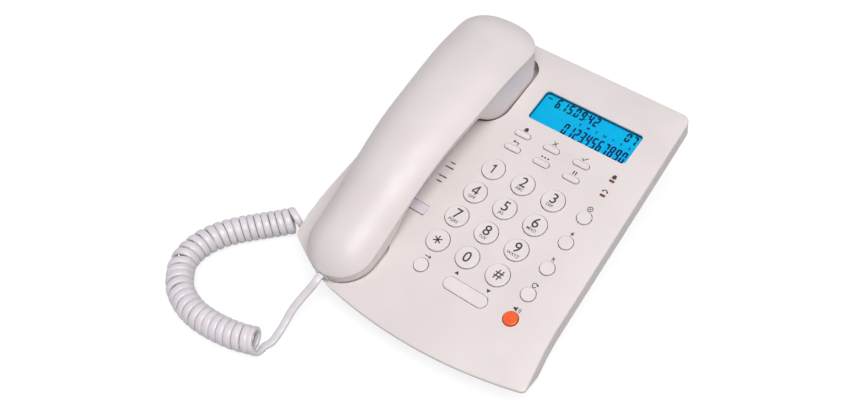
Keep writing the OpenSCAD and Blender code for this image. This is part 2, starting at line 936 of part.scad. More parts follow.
// What is cut through the face or into it, in its frame
module top_cuts() {
    high = 30;
    low = -side_h - 6;
    for (p = digit_places)
        translate([p.x, p.y, low])
            cylinder(h = high, r = key_d / 2 + key_gap);
    for (p = small_places)
        translate([p.x, p.y, low])
            cylinder(h = high, r = small_key_d / 2 + key_gap);
    for (p = menu_places)
        translate([p.x, p.y, low])
            linear_extrude(high)
                slot(menu_key_l + 2 * key_gap, menu_key_w + 2 * key_gap);
    // Rocker, and the bore of its pin
    translate([rocker_place.x, rocker_place.y, low])
        linear_extrude(high)
            slot(rocker_l + 2 * rocker_slack, rocker_w + 2 * rocker_slack);
    translate([rocker_place.x, rocker_place.y, rocker_pin_z])
        pin_along_y(rocker_w + 2 * pin_out + 0.8, pin_r + pin_fit);
    for (p = led_places)
        translate([p.x - led_size.x / 2 - led_fit, p.y - led_size.y / 2 - led_fit, low])
            cube([led_size.x + 2 * led_fit, led_size.y + 2 * led_fit, high]);
    translate([lcd_place.x, lcd_place.y, low])
        round_block([lcd_w, lcd_h, high], lcd_r);
    // Cradle
    translate([0, 0, pocket_z])
        linear_extrude(high)
            pocket_plan();
    translate([0, 0, rest_z])
        linear_extrude(high)
            rest_plan();
    translate([cord_exit_x - notch_w / 2, front_y - 5, notch_z])
        cube([notch_w, mouth_c - front_y, high]);
    translate([0, 0, low])
        linear_extrude(high)
            sound_slits();
    // Hook lever, and the bore of its pin
    translate([lever_x[0] - lever_gap, lever_y[0] - lever_gap, low])
        cube([
            lever_x[1] - lever_x[0] + 2 * lever_gap,
            lever_y[1] - lever_y[0] + 2 * lever_gap, high
        ]);
    translate([(lever_x[0] + lever_x[1]) / 2, lever_axis.x, lever_axis.y])
        rotate([0, 90, 0])
            cylinder(
                h = lever_x[1] - lever_x[0] + 2 * pin_out + 0.8, r = pin_r + pin_fit,
                center = true
            );
}
module top_housing() {
    color(shell_colour)
        difference() {
            union() {
                on_face() {
                    difference() {
                        base_skin();
                        base_hollow();
                    }
                    intersection() {
                        union() {
                            top_inside();
                            // Cup of the ear pocket
                            translate([0, 0, pocket_z - wall])
                                linear_extrude(2 * side_h)
                                    pocket_plan(wall);
                        }
                        under_roof();
                        inside_skirt();
                    }
                }
                intersection() {
                    at_posts(0)
                        cylinder(h = side_h + 5, r = top_post_r);
                    on_face()
                        under_roof(1);
                }
            }
            on_face()
                top_cuts();
            at_posts(-eps)
                cylinder(h = bite, r = screw_r);
        }
}
// Keeps the inside pieces out of the front wall's slope, and goes down past the joint
module inside_skirt() {
    loft([
        at_height(plan(undercut + wall, 1, 1, 1), -2 * side_h),
        at_height(plan(undercut + wall, 1, 1, 1), -side_h),
        at_height(plan(wall, 1, 1, 1), -lip_h),
        at_height(plan(wall, 1, 1, 1), 1)
    ]);
}

// --- Lower housing -----------------------------------------------------------
tub_right = 5;
tub_left = 1;
tub_front = 1;
tub_back = 0.8;
left_draft = 0.08;
foot_front = 3;
foot_back = 6.6;
function tub_rim(cut, z) = [
    for (p = plan(
        front_set(-side_h) + tub_front + cut, tub_right + cut, tub_left + cut, tub_back + cut
    ))
        on_table([p.x, p.y, z])
];
function tub_foot(cut, z) = [
    for (p = plan(
        undercut + foot_front + cut, tub_right + cut, tub_left + cut, foot_back + cut,
        draft, left_draft
    ))
        [p.x, on_table([0, p.y, -side_h]).y, z]
];
module tub_outer() {
    loft([tub_foot(0, foot_h), tub_rim(0, -side_h)]);
}
module tub_inner() {
    loft([tub_foot(wall, foot_h + wall), tub_rim(wall, -side_h + 1)]);
}

// Battery bay, open at the bottom; the cells lie across the housing
cell_d = 10.5;
cell_l = 44.5;
cell_n = 3;
cell_gap = 0.4;
contact_l = 2.6;
bay_place = [8, -2];
bay = [
    cell_l + 2 * contact_l,
    cell_n * (cell_d + cell_gap) + cell_gap,
    cell_d + 2 * cell_gap
];
bay_wall = 1.6;
door_t = 1.6;
door_fit = 0.25;
door_travel = 8;
door_lap = 2;
tab = [6, 1.4, 0.9];
floor_t = 3.6;
door = [bay.x + 2 * door_lap, bay.y + 2 * door_lap];
bay_floor = foot_h + door_t + door_fit;
tab_z = foot_h + 0.5;
tab_x = [-16, 10];

// Bay for the coiled cord's socket, open at the left wall
jack_y = -46;
jack_x = 10.5 - half_w;
jack_z = 9;
socket_bay = [14, 19, 12];
socket_bay_y = [-58, -39];

// Back wall: line socket and ringer switch
line_jack_x = 8;
line_jack = [13.4, 13, 13];
// Outside of the back wall at height z
function back_wall_y(z) =
    let (
        foot = on_table([0, back_y - foot_back, -side_h]).y,
        rim = on_table([0, back_y - tub_back, -side_h])
    )
    lerp(foot, rim.y, (z - foot_h) / (rim.z - foot_h));
line_jack_z = foot_h + wall + 1 + line_jack.z / 2;
line_jack_back = back_wall_y(line_jack_z) - 0.6;
ringer_place = [-32, 20];
ringer_slot = [10, 3.6];
ringer_travel = 2.5;

base_half_d = ((back_y - front_y) * cos(face_tilt) + side_h * sin(face_tilt)) / 2;
feet_places = [
    [14.5 - half_w, 30.4 - base_half_d], [half_w - 22.5, 30.4 - base_half_d],
    [22.5 - half_w, base_half_d - 17.4], [half_w - 46.5, base_half_d - 17.4]
];
foot_r = 6;
foot_seat = 1;

module battery_solid() {
    translate([
        bay_place.x - door.x / 2 - tab.y - 2, bay_place.y - door.y / 2 - door_travel - 2, foot_h
    ])
        cube([door.x + 2 * tab.y + 4, door.y + door_travel + 4, floor_t]);
    translate([bay_place.x - bay.x / 2 - bay_wall, bay_place.y - bay.y / 2 - bay_wall, foot_h])
        cube([bay.x + 2 * bay_wall, bay.y + 2 * bay_wall, bay_floor - foot_h + bay.z + bay_wall]);
}
module battery_cut() {
    translate([bay_place.x - bay.x / 2, bay_place.y - bay.y / 2, foot_h - eps])
        cube([bay.x, bay.y, bay_floor - foot_h + bay.z]);
    // Seat of the door, and the thumb recess ahead of it
    translate([
        bay_place.x - door.x / 2 - door_fit,
        bay_place.y - door.y / 2 - door_travel - door_fit, foot_h - eps
    ])
        cube([door.x + 2 * door_fit, door.y + door_travel + 2 * door_fit, door_t + door_fit]);
    // Grooves of the door's tabs
    for (y = tab_x)
        for (side = [-1, 1])
            translate([
                bay_place.x + side * (door.x / 2 + tab.y / 2) - tab.y / 2 - door_fit,
                bay_place.y + y - door_travel - door_fit, tab_z - door_fit
            ])
                cube([tab.y + 2 * door_fit, tab.x + door_travel + 2 * door_fit, tab.z + 2 * door_fit]);
}
module battery_door() {
    rib_n = 5;
    color(shell_colour)
        difference() {
            union() {
                translate([bay_place.x - door.x / 2, bay_place.y - door.y / 2, foot_h])
                    cube([door.x, door.y, door_t]);
                for (y = tab_x)
                    for (side = [-1, 1])
                        translate([
                            bay_place.x + side * (door.x + tab.y) / 2 - tab.y / 2 - side * eps,
                            bay_place.y + y, tab_z
                        ])
                            cube([tab.y, tab.x, tab.z]);
            }
            // Thumb grooves
            for (i = [0:rib_n - 1])
                translate([bay_place.x - 7, bay_place.y - door.y / 2 + 4 + 2 * i, foot_h - eps])
                    cube([14, 0.9, 0.5]);
        }
}
function cell_y(i) = bay_place.y + (i - (cell_n - 1) / 2) * (cell_d + cell_gap);
cell_z = bay_floor + cell_gap + cell_d / 2;
module batteries() {
    nub = [1.9, 1];
    color("#3C6E9E")
        for (i = [0:cell_n - 1])
            translate([bay_place.x, cell_y(i), cell_z])
                rotate([0, i % 2 == 0 ? 90 : -90, 0])
                    translate([0, 0, -cell_l / 2])
                        union() {
                            cylinder(h = cell_l - nub.y, r = cell_d / 2);
                            cylinder(h = cell_l, r = nub.x);
                        }
}
// Spring at each cell's flat end, plate at its nub
module battery_contacts() {
    plate = [0.4, 8, 8];
    spring_n = 3;
    wire_r = 0.3;
    spring_r = 3;
    color(steel_colour)
        for (i = [0:cell_n - 1])
            for (side = [-1, 1])
                let (flat = (i % 2 == 0) ? -1 : 1)
                    translate([bay_place.x + side * bay.x / 2, cell_y(i), cell_z])
                        union() {
                            translate([side > 0 ? -plate.x : 0, -plate.y / 2, -plate.z / 2])
                                cube(plate);
                            if (side == flat)
                                for (k = [1:spring_n])
                                    translate([-side * (plate.x + (k - 0.6) * 0.7), 0, 0])
                                        rotate([0, 90, 0])
                                            difference() {
                                                cylinder(
                                                    h = 0.75, r = spring_r - 0.4 * k + wire_r,
                                                    center = true
                                                );
                                                cylinder(
                                                    h = 1, r = spring_r - 0.4 * k - wire_r,
                                                    center = true
                                                );
                                            }
                            if (side != flat)
                                translate([-side * (plate.x + 0.8), 0, 0])
                                    rotate([0, 90, 0])
                                        cylinder(h = 1.6 + 2 * eps, r = 2.4, center = true);
                        }
}
module bottom_housing() {
    color(shell_colour)
        difference() {
            union() {
                difference() {
                    tub_outer();
                    tub_inner();
                }
                intersection() {
                    union() {
                        battery_solid();
                        // Walls of the socket's bay
                        translate([
                            -half_w, socket_bay_y[0] - wall, foot_h
                        ])
                            cube([
                                half_w + jack_x + wall,
                                socket_bay_y[1] - socket_bay_y[0] + 2 * wall,
                                foot_h + wall + socket_bay.z + wall
                            ]);
                        for (p = post_places)
                            let (top = post_joint(p))
                                translate([top.x, top.y, foot_h])
                                    cylinder(h = top.z - foot_h, r = low_post_r);
                        for (p = feet_places)
                            translate([p.x, p.y, foot_h])
                                cylinder(h = wall + foot_seat, r = foot_r + wall);
                    }
                    tub_outer();
                }
                // Ledge that holds the line socket
                translate([line_jack_x - line_jack.x / 2 - 2, line_jack_back - line_jack.y, foot_h])
                    cube([line_jack.x + 4, line_jack.y - wall, wall + 1]);
            }
            battery_cut();
            translate([-body_w, socket_bay_y[0], foot_h + wall])
                cube([body_w + jack_x, socket_bay_y[1] - socket_bay_y[0], socket_bay.z]);
            // Opening at the socket's face
            translate([jack_x - eps, jack_y - 4.2, jack_z - 3.6])
                cube([wall + 2 * eps, 8.4, 7.2]);
            // Line socket's window and the ringer switch's slot
            translate([
                line_jack_x - line_jack.x / 2 - near, line_jack_back - line_jack.y - near,
                foot_h + wall + 1
            ])
                cube([line_jack.x + 2 * near, line_jack.y + 12, line_jack.z + near]);
            translate([
                ringer_place.x - ringer_slot.x / 2, line_jack_back - 4,
                ringer_place.y - ringer_slot.y / 2
            ])
                cube([ringer_slot.x, 12, ringer_slot.y]);
            // Screw wells
            for (p = post_places)
                let (top = post_joint(p))
                    translate([top.x, top.y, foot_h - 1]) {
                        cylinder(h = top.z - seat_t - foot_h + 1, r = head_r + screw_fit);
                        cylinder(h = top.z, r = screw_r + screw_fit);
                    }
            for (p = feet_places)
                translate([p.x, p.y, foot_h - 1])
                    cylinder(h = foot_seat + 1, r = foot_r + 0.1);
            // Vents
            for (i = [-4:4])
                translate([-48 + 5 * i, 40, foot_h - 1])
                    linear_extrude(wall + 2)
                        rotate(90)
                            slot(18, 1.6);
        }
}
module rubber_feet() {
    color("#4A4B4E")
        for (p = feet_places)
            translate([p.x, p.y, 0])
                union() {
                    cylinder(h = foot_h + foot_seat, r = foot_r - 0.4);
                    translate([0, 0, 0.6])
                        cylinder(h = foot_h + foot_seat - 0.6, r = foot_r);
                }
}

// --- Sockets and switches ----------------------------------------------------
// Modular socket: a block with a cavity for the plug, open at its front (-Y)
module socket(size, cavity, latch, wire_h) {
    contact_n = 4;
    difference() {
        translate([-size.x / 2, 0, -size.z / 2])
            cube(size);
        translate([-cavity.x / 2, -eps, -cavity.z / 2])
            cube([cavity.x, cavity.y, cavity.z]);
        translate([-latch.x / 2, -eps, -cavity.z / 2 - latch.y])
            cube([latch.x, cavity.y, latch.y + eps]);
    }
    // Contact wires slanting down from the cavity's roof
    for (i = [0:contact_n - 1])
        translate([(i - (contact_n - 1) / 2) * 1.27 - 0.2, cavity.y - 3, cavity.z / 2 - wire_h])
            cube([0.4, 3 + eps, wire_h + eps]);
}
module line_jack() {
    color(dark_colour)
        translate([line_jack_x, line_jack_back, line_jack_z])
            rotate(180)
                socket(line_jack, [9.7, 11, 6.8], [6.2, 1.6], 1.2);
}
plug = [7.65, 11.5, 6.2];
plug_fit = 0.15;
cord_socket = [10, 12, 7.8];
plug_in = 9.5;
module cord_jack() {
    socket(
        cord_socket,
        [plug.x + 2 * plug_fit, plug_in, plug.z + 2 * plug_fit - 0.4],
        [4.2, 0.4], 0.4
    );
}
module base_cord_jack() {
    color(dark_colour)
        translate([jack_x + wall, jack_y, jack_z])
            rotate(-90)
                cord_jack();
}
// Plug: stepped body with its latch below and the contacts' slots at its nose
module cord_plug(nose_l = 8.5) {
    latch_w = 3.2;
    difference() {
        union() {
            translate([-plug.x / 2, 0, -plug.z / 2 + 0.6])
                cube([plug.x, nose_l - 0.2, plug.z - 1.2]);
            translate([-plug.x / 2, -plug.y + nose_l, -plug.z / 2 + 0.4])
                cube([plug.x, plug.y - nose_l + eps, plug.z - 0.8]);
            translate([-latch_w / 2, -plug.y + nose_l + 0.6, -plug.z / 2])
                cube([latch_w, plug.y - 4, 0.6 + eps]);
        }
        for (i = [-1.5:1:1.5])
            translate([i * 1.27 - 0.25, nose_l - 4.8, plug.z / 2 - 1.8])
                cube([0.5, 1.6, 2]);
    }
}
module base_plug() {
    color(window_colour, 0.6)
        translate([jack_x + wall, jack_y, jack_z])
            rotate(-90)
                cord_plug();
}
module ringer_switch_frame() {
    color(steel_colour)
        translate([ringer_place.x, line_jack_back - 4, ringer_place.y])
            difference() {
                translate([-9, -5.2, -5])
                    cube([18, 4, 10]);
                translate([-6, -3.2, -2.4])
                    cube([12, 3, 4.8]);
            }
}
module ringer_switch() {
    knob = [4, 5.4, 2.8];
    color(dark_colour)
        translate([ringer_place.x - ringer_travel, line_jack_back - 4, ringer_place.y])
            union() {
                translate([-knob.x / 2, -1.3, -knob.z / 2])
                    cube(knob);
                translate([-3.2, -2.9, -2])
                    cube([6.4, 1.6 + eps, 4]);
            }
}

// --- Handset -----------------------------------------------------------------
hollow_n = 22;
hollow_ring_n = 10;
plug_z = 3.8;
plug_y = mouth_y - 0.1;
socket_y = mouth_y + 5.5;
handset_screw_y = [mouth_y + 42, ear_y - 68];
receiver_y = ear_y - 28.1;
receiver_h = 7;
receiver_seat = 2;
mic_y = -55.5;
mic_r = 4.85;
mic_h = 4.5;
mic_seat = 0.6;
function stations(n, ends) = [for (i = [0:n]) station(i, n, ends)];
// Both shells share these stations, so that they meet along one seam
seam_stations = stations(station_n, lower_inset + tip);
module handset_opening() {
    translate([cord_exit_x - plug.x / 2 - near, mouth_y - 4, plug_z - plug.z / 2 - near])
        cube([plug.x + 2 * near, 10, plug.z + 2 * near]);
}
module handset_upper_shell() {
    color(shell_colour)
        on_face()
            difference() {
                handset_loft([
                    for (y = concat([mouth_y + tip], seam_stations, [ear_y - tip])) upper_ring(y)
                ]);
                difference() {
                    handset_loft([
                        for (y = stations(hollow_n, shell_t + tip))
                            upper_ring(y, shell_t, 1, hollow_ring_n)
                    ]);
                    for (y = handset_screw_y)
                        translate([handset_x, y, 0])
                            cylinder(h = 60, r = screw_post_r);
                }
                for (y = handset_screw_y)
                    translate([handset_x, y, 0])
                        cylinder(h = seam(y) + 5, r = screw_r);
                handset_opening();
            }
}
// Sound holes in rings round their middle
module sound_holes(ring_pitch, rings, r) {
    circle(r);
    for (k = [1:rings])
        for (i = [0:6 * k - 1])
            rotate(60 * i / k)
                translate([k * ring_pitch, 0])
                    circle(r);
}
// Ring that a capsule of radius r sits on, with its top at z
module capsule_seat(y, z, r) {
    translate([handset_x, y, z - capsule_seat_h])
        difference() {
            cylinder(h = capsule_seat_h, r = r);
            translate([0, 0, -eps])
                cylinder(h = capsule_seat_h + 2 * eps, r = r - capsule_seat_w);
        }
}
module handset_lower_shell() {
    color(shell_colour)
        on_face()
            difference() {
                handset_loft([for (y = seam_stations) lower_ring(y)]);
                difference() {
                    handset_loft([
                        for (y = stations(hollow_n, lower_inset + shell_t + tip))
                            lower_ring(y, shell_t, 1, hollow_ring_n)
                    ]);
                    for (y = handset_screw_y)
                        translate([handset_x, y, -20])
                            cylinder(h = 20 + seam(y), r = well_post_r);
                    // Seats of the receiver and the microphone
                    capsule_seat(receiver_y, pod_ear_z + shell_t + receiver_seat, receiver_d / 2);
                    capsule_seat(mic_y, pod_mouth_z + shell_t + mic_seat, mic_r);
                }
                // Screw wells
                for (y = handset_screw_y)
                    translate([handset_x, y, -20]) {
                        cylinder(h = 20 + seam(y) - seat_t, r = head_r - 0.4);
                        cylinder(h = 30 + seam(y), r = screw_r + screw_fit);
                    }
                translate([handset_x, receiver_y, pod_ear_z - 1])
                    linear_extrude(shell_t + 2)
                        sound_holes(3.4, 2, 0.9);
                translate([handset_x, mic_y, pod_mouth_z - 1])
                    linear_extrude(shell_t + 2)
                        sound_holes(2.4, 1, 0.7);
                handset_opening();
            }
}
module handset_screws() {
    color(steel_colour)
        on_face()
            for (y = handset_screw_y)
                translate([handset_x, y, seam(y) - seat_t])
                    difference() {
                        union() {
                            translate([0, 0, -head_h])
                                cylinder(h = head_h, r = head_r - 0.6);
                            translate([0, 0, -head_h / 2])
                                cylinder(h = head_h / 2 + seat_t + 4.5, r = screw_r);
                        }
                        translate([0, 0, -head_h - eps])
                            cylinder(h = 1.2, r = 1.1, $fn = 6);
                    }
}
module receiver() {
    color(dark_colour)
        on_face()
            translate([handset_x, receiver_y, pod_ear_z + shell_t + receiver_seat])
                difference() {
                    union() {
                        cylinder(h = receiver_h - 3, r = receiver_d / 2);
                        cylinder(h = receiver_h, r = receiver_d / 3);
                    }
                    translate([0, 0, -eps])
                        cylinder(h = 1.2, r = receiver_d / 2 - 3);
                }
}
module microphone() {
    color(steel_colour)
        on_face()
            translate([handset_x, mic_y, pod_mouth_z + shell_t + mic_seat])
                difference() {
                    cylinder(h = mic_h, r = mic_r);
                    translate([0, 0, -eps])
                        cylinder(h = 0.6, r = mic_r - 1);
                }
}
weight = [14, 38, 6];
weight_y = -5;
screw_post_r = 3.2;
well_post_r = 3.6;
capsule_seat_h = 3;
capsule_seat_w = 2;
module handset_weight() {
    color(steel_colour)
        on_face()
            translate([handset_x - weight.x / 2, weight_y, grip_z + shell_t + near])
                cube(weight);
}
module handset_cord_jack() {
    color(dark_colour)
        on_face()
            translate([cord_exit_x, socket_y, plug_z])
                cord_jack();
}
module handset_plug() {
    color(window_colour, 0.6)
        on_face()
            translate([cord_exit_x, socket_y, plug_z])
                cord_plug(plug_y + plug.y - socket_y);
}

// --- Cord --------------------------------------------------------------------
// Route of the coil's middle, laid on the table
coil_route = [
    [-92, -57, 8.2], [-97, -64, 8.2], [-104, -72.5, 8.2], [-110.5, -80, 8.2],
    [-117, -88, 8.2], [-122, -96, 8.2], [-125.5, -105, 8.2], [-126.5, -114.5, 8.2],
    [-124.5, -124, 8.2], [-119, -131.5, 8.2], [-112, -138, 8.2], [-102, -142.5, 8.2],
    [-92, -144.5, 8.2], [-82, -144.5, 8.2], [-72.5, -142.5, 8.2], [-64, -139.5, 8.2],
    [-55, -134.8, 8.2]
];
// Flat cord from the base's plug to the coil
base_route = [
    [-74.9, -46, 9], [-78.5, -46, 9], [-82, -46.6, 8.8], [-85.4, -48.8, 8.5],
    [-88.4, -52, 8.3], [-90.4, -54.8, 8.2], [-91.9, -56.8, 8.2]
];
// Flat cord from the coil's last turn up to the handset's plug
handset_route = [
    [-54.8, -134.7, 3.2], [-52.4, -133.5, 3.1], [-50.7, -131.3, 2.8], [-50, -128, 2.6],
    [-50.4, -122.5, 4], [-50.8, -116.8, 6.6], [-50.5, -112, 10.5], [-49.1, -106.3, 15],
    [-46.9, -100.7, 20], [-45.6, -97.6, 23.1], [-45.4, -95, 24.8], [-45.4, -91.8, 25.6]
];
function tangent(route, i) =
    let (
        last = len(route) - 1,
        v = route[min(i + 1, last)] - route[max(i - 1, 0)]
    )
    v / norm(v);
// Tube along a route, oval in section: width lies level, height stands up
module tube(route, width, height, sides) {
    n = len(route);
    points = [
        for (i = [0:n - 1])
            let (
                t = tangent(route, i),
                side = cross(t, [0, 0, 1]),
                u = side / norm(side),
                v = cross(u, t)
            )
            for (k = [0:sides - 1])
                let (a = 360 * k / sides)
                route[i] + width / 2 * cos(a) * u + height / 2 * sin(a) * v
    ];
    polyhedron(
        points = points,
        faces = concat(
            [[for (k = [0:sides - 1]) k]],
            [for (i = [0:n - 2]) for (k = [0:sides - 1]) each [
                [i * sides + k, (i + 1) * sides + k, (i + 1) * sides + (k + 1) % sides],
                [i * sides + k, (i + 1) * sides + (k + 1) % sides, i * sides + (k + 1) % sides]
            ]],
            [[for (k = [sides - 1:-1:0]) (n - 1) * sides + k]]
        )
    );
}
module coil_cord() {
    color(cord_colour)
        tube(coil_route, coil_d, coil_d, 12);
}
module base_tail() {
    color(cord_colour)
        tube(base_route, cord_w, cord_t, 8);
}
module handset_tail() {
    color(cord_colour)
        tube(handset_route, cord_w, cord_t, 8);
}

top_housing();
bottom_housing();
lcd_window();
lcd_panel();
lcd_backlight();
main_board();
keypad_mat();
key_1();
key_2();
key_3();
key_4();
key_5();
key_6();
key_7();
key_8();
key_9();
key_star();
key_0();
key_hash();
hold_key();
auto_key();
flash_key();
redial_key();
out_key();
speaker_key();
alarm_key();
delete_key();
set_key();
recall_key();
memory_key();
pause_key();
volume_rocker();
ring_led();
line_led();
hook_lever();
hook_switch();
loudspeaker();
line_jack();
base_cord_jack();
ringer_switch();
ringer_switch_frame();
battery_door();
batteries();
battery_contacts();
rubber_feet();
housing_screws();
handset_upper_shell();
handset_lower_shell();
receiver();
microphone();
handset_cord_jack();
handset_weight();
handset_screws();
handset_plug();
base_plug();
coil_cord();
handset_tail();
base_tail();
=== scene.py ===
"""Looks of a corded desk telephone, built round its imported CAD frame.

Sizes are in millimetres in the script and turned into Blender's metres by MM. Places on the
sloping face use the face's own frame: X across, Y up the slope and Z out of the face.
"""

import math

import bmesh
import bpy
from mathutils import Matrix, Vector


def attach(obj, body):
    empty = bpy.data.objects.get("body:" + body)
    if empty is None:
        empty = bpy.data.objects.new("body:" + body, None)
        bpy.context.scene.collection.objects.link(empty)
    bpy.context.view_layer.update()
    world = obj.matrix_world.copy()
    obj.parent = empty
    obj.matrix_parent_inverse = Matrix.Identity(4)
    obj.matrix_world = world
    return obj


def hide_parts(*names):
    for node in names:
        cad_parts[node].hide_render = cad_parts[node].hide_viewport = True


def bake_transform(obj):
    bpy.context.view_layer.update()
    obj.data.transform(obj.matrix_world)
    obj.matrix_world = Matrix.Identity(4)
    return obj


MM = 0.001
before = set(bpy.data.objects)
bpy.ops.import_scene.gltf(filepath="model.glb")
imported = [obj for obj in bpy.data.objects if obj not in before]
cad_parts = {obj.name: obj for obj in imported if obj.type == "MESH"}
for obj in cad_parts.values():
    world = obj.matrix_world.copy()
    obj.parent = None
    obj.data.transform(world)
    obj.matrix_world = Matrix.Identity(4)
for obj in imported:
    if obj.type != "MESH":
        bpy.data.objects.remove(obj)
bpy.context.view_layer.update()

# --- Frame of the face -----------------------------------------------------------------------
FACE_TILT = math.radians(14)
FACE_ORIGIN = Vector((0, -14.43, 41.04))
FACE = Matrix.Translation(FACE_ORIGIN) @ Matrix.Rotation(FACE_TILT, 4, "X")
PAD_X = 15.6
PITCH_X = 20
PITCH_Y = 17.7


def on_face(x, y, z=0):
    """A place on the face, in the frame's metres."""
    return FACE @ Vector((x, y, z)) * MM


# --- Camera ----------------------------------------------------------------------------------
# Fitted to the keypad, the display and the outline in the photo
CAMERA_PLACE = Vector((227.2, -329.6, 483.8))
CAMERA_RIGHT = Vector((0.7888, 0.6143, -0.0207))
CAMERA_AHEAD = Vector((-0.4189, 0.5126, -0.7495))
SENSOR = 36
IMAGE_W = 860
FOCAL_PX = 1064


def add_camera():
    ahead = CAMERA_AHEAD.normalized()
    right = (CAMERA_RIGHT - CAMERA_RIGHT.dot(ahead) * ahead).normalized()
    up = right.cross(ahead)
    data = bpy.data.cameras.new("camera")
    data.sensor_width = SENSOR
    data.lens = SENSOR * FOCAL_PX / IMAGE_W
    camera = bpy.data.objects.new("camera", data)
    turn = Matrix((right, up, -ahead)).transposed().to_4x4()
    camera.matrix_world = Matrix.Translation(CAMERA_PLACE * MM) @ turn
    bpy.context.scene.collection.objects.link(camera)
    bpy.context.scene.camera = camera


add_camera()

# --- Materials -------------------------------------------------------------------------------
NOISE_LOW = 0.35
NOISE_HIGH = 0.65


def linear(colour):
    """Linear RGBA of a #RRGGBB colour."""
    parts = [int(colour[i:i + 2], 16) / 255 for i in (1, 3, 5)]
    return [c / 12.92 if c <= 0.04045 else ((c + 0.055) / 1.055) ** 2.4 for c in parts] + [1]


class Material:
    """A procedural material round one Principled shader, in the object's own coordinates."""

    def __init__(self, name, colour, roughness, **sockets):
        self.material = bpy.data.materials.new(name)
        self.material.use_nodes = True
        self.tree = self.material.node_tree
        self.shader = self.tree.nodes["Principled BSDF"]
        self.colour = linear(colour)
        self.shader.inputs["Base Color"].default_value = self.colour
        self.shader.inputs["Roughness"].default_value = roughness
        for socket, value in sockets.items():
            self.shader.inputs[socket.replace("_", " ")].default_value = value
        self.coordinates = self.tree.nodes.new("ShaderNodeTexCoord").outputs["Object"]

    def noise(self, size, detail):
        """Noise whose blotches are about size millimetres across."""
        node = self.tree.nodes.new("ShaderNodeTexNoise")
        node.inputs["Scale"].default_value = 1 / (size * MM)
        node.inputs["Detail"].default_value = detail
        self.tree.links.new(self.coordinates, node.inputs["Vector"])
        return node.outputs["Fac"]

    def ramp(self, factor, low, high):
        """A number that runs from low to high over the middle of the noise's range."""
        node = self.tree.nodes.new("ShaderNodeMapRange")
        node.inputs["From Min"].default_value = NOISE_LOW
        node.inputs["From Max"].default_value = NOISE_HIGH
        node.inputs["To Min"].default_value = low
        node.inputs["To Max"].default_value = high
        self.tree.links.new(factor, node.inputs["Value"])
        return node.outputs["Result"]

    def mottle(self, other, size):
        """Runs the colour towards another one in blotches."""
        mix = self.tree.nodes.new("ShaderNodeMix")
        mix.data_type = "RGBA"
        mix.inputs["A"].default_value = self.colour
        mix.inputs["B"].default_value = linear(other)
        self.tree.links.new(
            self.ramp(self.noise(size, detail=2), 0, 1), mix.inputs["Factor"]
        )
        self.tree.links.new(mix.outputs["Result"], self.shader.inputs["Base Color"])
        return self

    def uneven(self, low, high, size):
        """Roughness between low and high."""
        self.tree.links.new(
            self.ramp(self.noise(size, detail=4), low, high), self.shader.inputs["Roughness"]
        )
        return self

    def grain(self, size, depth, strength):
        """Bumps about size millimetres across and depth millimetres deep."""
        bump = self.tree.nodes.new("ShaderNodeBump")
        bump.inputs["Distance"].default_value = depth * MM
        bump.inputs["Strength"].default_value = strength
        self.tree.links.new(self.noise(size, detail=3), bump.inputs["Height"])
        self.tree.links.new(bump.outputs["Normal"], self.shader.inputs["Normal"])
        return self


